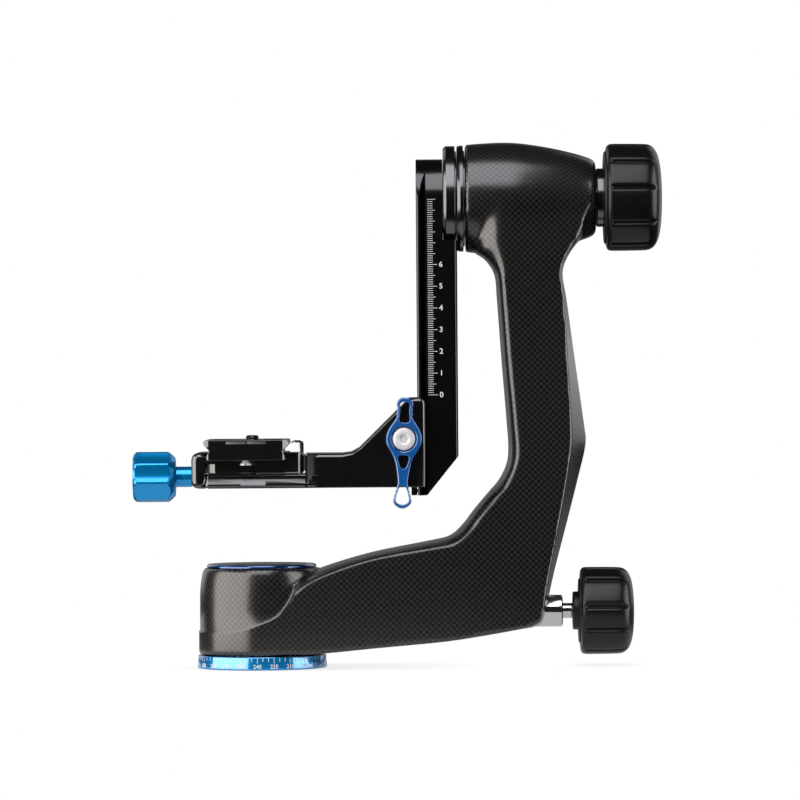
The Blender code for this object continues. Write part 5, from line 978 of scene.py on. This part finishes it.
def make_plate():
    """The dovetail plate; its upright corners are cut off, so that they catch the light."""
    low, high = box_mm("camera_plate")
    centre = (low[0] + high[0]) / 2
    base, top, front = low[2], high[2], low[1]
    half = [(17.8, 0), (17.8, 2.3), (16.4, 4.2), (19.3, 7), (19.3, 9.2)]
    outline = soft_corners([(centre + x, base + z) for x, z in widened(half)], 0.9)
    plate = side_prism(outline, front, -front, 0.25)
    wide, deep = high[0] - centre, -front
    corner = [(wide + 2.3, -deep + 3.2), (wide - 3, -deep - 0.5), (wide - 3, -deep - 5), (wide + 5, -deep - 5)]
    for side_x in (1, -1):
        for side_y in (1, -1):
            tool = [(centre + side_x * x, side_y * y) for x, y in corner][::side_x * side_y]
            combine(plate, plan_prism(tool, [(base - 1, 0), (top + 1, 0)]))
    x = middle("camera_screw", 0)
    combine(plate, block((x - 3.4, -15, base - 1), (x + 3.4, 15, top + 1)))
    combine(plate, block((x - 6.9, -15, base - 1), (x + 6.9, 15, base + 3.6)))
    (x0, y0, _), (x1, y1, _) = box_mm("plate_pad")
    seat = block((x0 - 0.3, y0 - 0.3, top - 0.7), (x1 + 0.3, y1 + 0.3, top + 1))
    combine(seat, block((x0 + 7.9, y0 + 9.3, top - 2), (x1 - 7.9, y1 - 9.3, top + 2)))
    combine(plate, seat)
    for side in (-1, 1):
        combine(plate, turned([(0, base - 1), (1.5, base - 1), (1.5, base + 4.3), (0, base + 4.3)], 32,
                              at=(centre, side * (deep - 3.6))))
        for start, end in ((-9.1, 0.2), (0.6, 9.4)):
            near, far = sorted((side * deep, side * (deep - 0.5)))
            combine(plate, block((centre + start, near - 0.01, top - 1.9),
                                 (centre + end, far + 0.01, top - 0.5)))
            near, far = sorted((side * (deep - 0.1), side * (deep - 0.55)))
            strip = rectangle(centre + start + 0.1, top - 1.8, centre + end - 0.1, top - 0.6)
            detail(side_prism(strip, near, far, 0.08), "plate_strip", "plate", "raw_aluminium")
    finish(even_shading(plate, 30 * DEG), "camera_plate")


def make_pad():
    """The rubber frame on the plate, with fine ribs across it."""
    (x0, y0, z0), (x1, y1, z1) = box_mm("plate_pad")
    pad = block((x0, y0, z0), (x1, y1, z1 - 0.75))
    for number in range(int((y1 - y0) / 1.5)):
        y = y0 + 0.6 + number * 1.5
        if y + 0.8 < y1:
            combine(pad, block((x0 + 0.4, y, z1 - 0.9), (x1 - 0.4, y + 0.8, z1 - 0.55)), "UNION")
    combine(pad, block((x0 + 7.6, y0 + 9, z0 - 1), (x1 - 7.6, y1 - 9, z1 + 1)))
    shade(pad.data, 20 * DEG)
    finish(pad, "plate_pad")


def make_bracket():
    """The bracket: an upper body with broad polished edges, a fillet to the clamp and a wider deck below it."""
    (left, _, base), (right, _, top) = box_mm("platform_bracket")
    join, neck, lip, slope = 20.9, 99.2, 72.4, 16.1
    side = [(join, base), (right, base), (right, top), (right - 7.4, top), (45.7, 101.8), (42, 99.75),
            (38, neck), (join, neck)]
    outline = soft_corners(side, [0, 0, 3.2, 0, 0, 0, 0, 0], 6)

    def rim_share(x, z):
        if z < base + 0.1:
            return 0.25
        return 1 if x > right - 7.4 or x < 42 else 0.6

    body = side_prism(outline, -23, 23, 2.1, share_of=rim_share)
    fillet = mirrored([(join, -24.9), (21.9, -24.9), (24.6, -23.45), (27.6, -22.05)])
    combine(body, plan_prism(fillet, [(base + 0.35, 0), (98.6, 0), (99.17, 0.35)]), "UNION")
    deck = mirrored([(left, -24.45), (left + 1, -24.98), (22.5, -24.98), (34, -22.2)])
    rows = [(base + 0.02, 1.2), (base + 0.5, 0.5), (base + 1.3, 0.1), (base + 2, 0), (base + 4.3, 0.76),
            (base + 4.9, 0.82), (89.1, 0.82), (89.6, 1.07)]
    combine(body, plan_prism(deck, rows), "UNION")
    combine(body, block((left - 1, -5, 85.4), (0.8, 5, 90.6)))
    channel = mirrored([(lip, 18.65), (74.5, 18.65), (right, slope), (right + 1, slope)])
    combine(body, plan_prism(channel, [(base - 1, 0), (top + 1, 0)]))
    low, high = box_mm("rail_clamp_shoe")
    combine(body, block([value - 0.3 for value in low], (lip + 0.5, high[1] + 0.3, high[2] + 0.3)))
    hole = turned([(0, 0), (3.2, 0), (3.2, 22.6), (3.7, 24), (0, 24)], 48)
    combine(body, turn_to_front(hole, middle("lever_screw", 0), middle("lever_screw", 2)))
    for node in ("clamp_bolt_front", "clamp_bolt_back"):
        foot, head = span(node, 2)
        combine(body, turned([(0, foot - 2), (3.3, foot - 2), (3.3, foot + 2.7), (2, foot + 2.7), (2, head),
                              (0, head)], 40, at=(middle(node, 0), middle(node, 1))))
    for side in (-1, 1):
        section = [(20, base + 1.5), (25.75, base + 1.5), (24.93, base + 3.7), (20, base + 3.7)]
        rings = [scaled([(x, side * y, z) for y, z in section]) for x in (-8.7, 2.7)]
        combine(body, loft(rings), "UNION")

    def crisp(spot):
        x, y, z = spot / MM
        return (21 < x < 28.7 and abs(y) > 21) or (x < 3 and abs(y) > 24.4 and z < base + 4)

    finish(even_shading(body, crisp=crisp), "platform_bracket")


def make_jaw():
    """The moving jaw: a bar with broad round edges, open where the clamp's pins, screw and plate go."""
    (x0, y0, z0), (x1, y1, z1) = box_mm("moving_jaw")
    outline = soft_corners(rectangle(x0 + 0.02, z0 + 0.02, x1 + 5, z1 - 0.02), 3.9, 6)
    jaw = side_prism(outline, y0 + 0.02, y1 - 0.02, 2.5)
    combine(jaw, copy_of("moving_jaw"), "INTERSECT")
    finish(even_shading(jaw), "moving_jaw")


def make_clamp():
    """The clamp body: corners cut in two facets, a framed stop groove, broad round edges."""
    (x0, y0, _), (x1, y1, top) = box_mm("clamp_body")
    base = 89.9
    clamp = copy_of("clamp_body")
    side = [(x0 - 3, base - 9), (x0 + 24, base - 9), (x0 + 24, base), (x1 - 1.2, base), (x1, base + 1.2),
            (x1, top - 1.6), (x1 - 1.6, top), (x0 - 3, top)]
    combine(clamp, side_prism(side, y0, y1, 0.9), "INTERSECT")
    plan = mirrored([(x0 - 0.01, y0), (x1 - 2.5, y0), (x1 - 1, y0 + 1.08), (x1, y0 + 2.6)])
    combine(clamp, plan_prism(plan, [(base - 9, 0), (90.5, 0), (91, 0.25), (top + 2, 0.25)]), "INTERSECT")
    for side in (1, -1):
        facet = [(x0 - 1, side * (y0 - 1)), (x0 + 6.08, side * (y0 - 1)), (x0 + 0.2, side * (y0 + 2.98)),
                 (x0 - 1, side * (y0 + 2.98))][::side]
        combine(clamp, plan_prism(facet, [(90.6, 0), (94.7, 0)]))
    combine(clamp, block((-12.7, y0 - 1, 92.2), (-1.3, y0 + 1.2, 97.2)))
    finish(even_shading(rounded_edges(clamp, 0.16 * MM, 2, 30 * DEG)), "clamp_body")


# The lever's half outline in mm from its boss centre, (half width, height), from its foot to its top
LEVER_HALF = (
    (0.9, -31.9), (2.3, -31.2), (3.5, -30.2), (4.1, -29.2), (4.25, -28.4), (4.1, -27.6), (3.75, -27),
    (3.85, -26.3), (3.6, -25.6), (3.2, -25.1), (3.3, -24.4), (3.1, -23.7), (2.75, -23.2), (2.8, -22.5),
    (2.5, -21.4), (2.25, -20.3), (2.3, -19), (2.55, -17.2), (2.85, -15.2), (3.15, -13.2), (3.5, -11.4),
    (4.1, -9.6), (4.9, -7.8), (5.9, -6.1), (6.9, -4.5), (7.7, -2.9), (8.1, -1.4), (8.2, 0.2), (8.05, 1.6),
    (7.6, 3.1), (6.9, 4.7), (6, 6.1), (5.1, 7.4), (4.3, 8.6), (3.8, 9.6), (3.5, 10.3), (3.75, 10.9), (3.85, 11.4),
    (3.55, 11.9), (3.4, 12.3), (3.65, 12.8), (3.75, 13.3), (3.5, 13.8), (3.4, 14.3), (3.7, 14.8), (3.85, 15.6),
    (3.75, 16.6), (3.2, 17.7), (2.3, 18.5), (1.1, 19),
)
LEVER_HOLES = (
    ((0.9, 7.5), (1.9, 7.7), (2.4, 8.4), (2.4, 9.6), (2.15, 11.2), (2, 12.8), (2.15, 14.4), (2.3, 15.4),
     (1.9, 16.3), (1, 17)),
    ((0.5, -13.7), (1.3, -12.9), (1.9, -11.6), (2.3, -10.2), (2.55, -9.1), (2.4, -8.1), (1.7, -7.6), (0.8, -7.5)),
    ((0.9, -30.2), (2.1, -29.7), (2.9, -28.8), (3.05, -27.6), (2.8, -26.2), (2.3, -24.4), (1.8, -22.9), (1.2, -22),
     (0.5, -21.6)),
)


def make_lever():
    """The double-ended lever with rippled ends and rounded rims."""
    front, back = span("height_lever", 1)
    lever = side_prism(widened(LEVER_HALF), front, back, 0.7)
    for half in LEVER_HOLES:
        combine(lever, side_prism(widened(half), front, back, 0.4, flare=True))
    recess = [(0, -back - 1), (3.2, -back - 1), (3.2, -front - 3.6), (5.9, -front - 3.6), (5.9, -front - 0.4),
              (6.4, -front + 0.02), (6.4, -front + 1), (0, -front + 1)]
    combine(lever, turn_to_front(turned(recess, 96)))
    lever.data.transform(Matrix.Rotation(2 * DEG, 4, "Y"))
    move(lever, middle("lever_screw", 0) * MM, 0, middle("lever_screw", 2) * MM)
    finish(even_shading(lever), "height_lever", BLUE_SATIN)


def make_rail():
    """The swinging rail, with its four upright edges rounded more than the others, and what is screwed to it."""
    low, high = box_mm("swing_rail")
    corners = soft_corners(rectangle(*low[:2], *high[:2]), [1.2, 2.3, 2.3, 1.2], 7)
    plan = plan_prism(corners, [(low[2] - 1, 0), (high[2] + 1, 0)])
    softened("swing_rail", 0.3 * MM, 3, plan, "INTERSECT", RAIL_BLACK)
    for number in range(1, 4):
        node = f"hub_screw_{number}"
        head = span(node, 0)[0]
        key = turn_along_x(hex_hole(1.6, head - 1, head + 1.6), middle(node, 2) * MM)
        softened(node, 0.25 * MM, 2, move(key, 0, middle(node, 1) * MM, 0), look=DARK_STEEL)
    softened("rail_stop", 0.4 * MM, 3)


# ---- scales ----


STROKE_DEPTH = 0.025 * MM


def number_mesh(label, size):
    """The flat outline of a number as a thin solid, centred on the origin in the XY plane."""
    curve = configure(bpy.data.curves.new("number", "FONT"), body=label, size=size, align_x="CENTER",
                      align_y="CENTER", offset=size * 0.016, extrude=STROKE_DEPTH, resolution_u=3)
    item = link(bpy.data.objects.new("number", curve))
    mesh = baked(item)
    bpy.data.objects.remove(item, do_unlink=True)
    return mesh


def make_marks(name, body, slot, strokes, labels, wrap):
    """Printed strokes (u0, u1, v0, v1) and numbers (text, u, v, size) in mm, laid on a surface by wrap."""
    mesh_data = bmesh.new()
    for u0, u1, v0, v1 in strokes:
        corners = scaled(rectangle(u0, v0, u1, v1))
        made = [[mesh_data.verts.new((u, v, w)) for u, v in corners] for w in (-STROKE_DEPTH, STROKE_DEPTH)]
        mesh_data.faces.new(made[0][::-1])
        mesh_data.faces.new(made[1])
        for step in range(4):
            after = (step + 1) % 4
            mesh_data.faces.new((made[0][step], made[0][after], made[1][after], made[1][step]))
    for label, u, v, size in labels:
        mesh = number_mesh(label, size * MM)
        mesh.transform(Matrix.Translation((u * MM, v * MM, 0)))
        mesh_data.from_mesh(mesh)
    for vertex in mesh_data.verts:
        vertex.co = wrap(*vertex.co)
    return detail(mesh_object(mesh_data), name, body, slot, PRINT)


def make_rail_scale():
    """A stroke a millimetre on the rail's front, longer at 5 and 10 mm, with the centimetres up to 6."""
    zero, left, face = 125.8, 77.8, -18.3 * MM
    strokes, labels = [], []
    for number in range(91):
        z = zero + number
        numbered = number % 10 == 0 and number <= 60
        long = 4.4 if numbered else 3.6 if number % 5 == 0 else 2.5
        strokes.append((left, left + long, z - 0.12, z + 0.12))
        if numbered:
            labels.append((str(number // 10), 83.9, z, 3.5))
    make_marks("rail_scale", "swing", "black_anodised", strokes, labels, lambda u, v, w: Vector((u, face - w, v)))


def make_pan_scale():
    """A stroke every 5 degrees round the base disc and a number every 15, on its slightly conical side."""
    radius, lean, top = 30, 0.0865, 5.75
    strokes, labels = [], []
    for number in range(72):
        u = radius * (-3 + 5 * number) * DEG
        long = 2.6 if number % 3 == 0 else 1.7
        strokes.append((u - 0.13, u + 0.13, top - long, top))
        if number % 3 == 0:
            labels.append((str((240 - 5 * number) % 360), u, 1.7, 2.6))

    def on_disc(u, v, w):
        out = radius * MM - (v - 0.5 * MM) * lean + w
        turn = u / (radius * MM)
        return Vector((out * math.sin(turn), -out * math.cos(turn), v))

    make_marks("pan_scale", "base", "blue_anodised", strokes, labels, on_disc)


# ---- all together ----

dress_frame()
make_camera()
make_world()
make_floor()
make_lights()
make_arm()
make_base()
make_side_pieces()
make_platform_screws()
make_grip("tilt_lock_grip", 24.9 * MM, 160.7 * MM, 26 * MM, TILT_Z, -99.4 * DEG, (40 * DEG, 32 * DEG),
          (21.8 * MM, 17.3 * MM, 19.6 * MM, 1.1 * MM))
make_grip("pan_lock_grip", 20.3 * MM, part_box("pan_lock_grip")[0][0], 24.9 * MM, PAN_LOCK_Z, -97.1 * DEG,
          (32 * DEG, 40 * DEG), (15.3 * MM, 14.3 * MM, 18.9 * MM, 1.1 * MM))
make_clamp_knob()
make_plate()
make_pad()
make_bracket()
make_jaw()
make_clamp()
make_lever()
make_rail()
make_rail_scale()
make_pan_scale()
bpy.context.scene.view_settings.view_transform = "Standard"
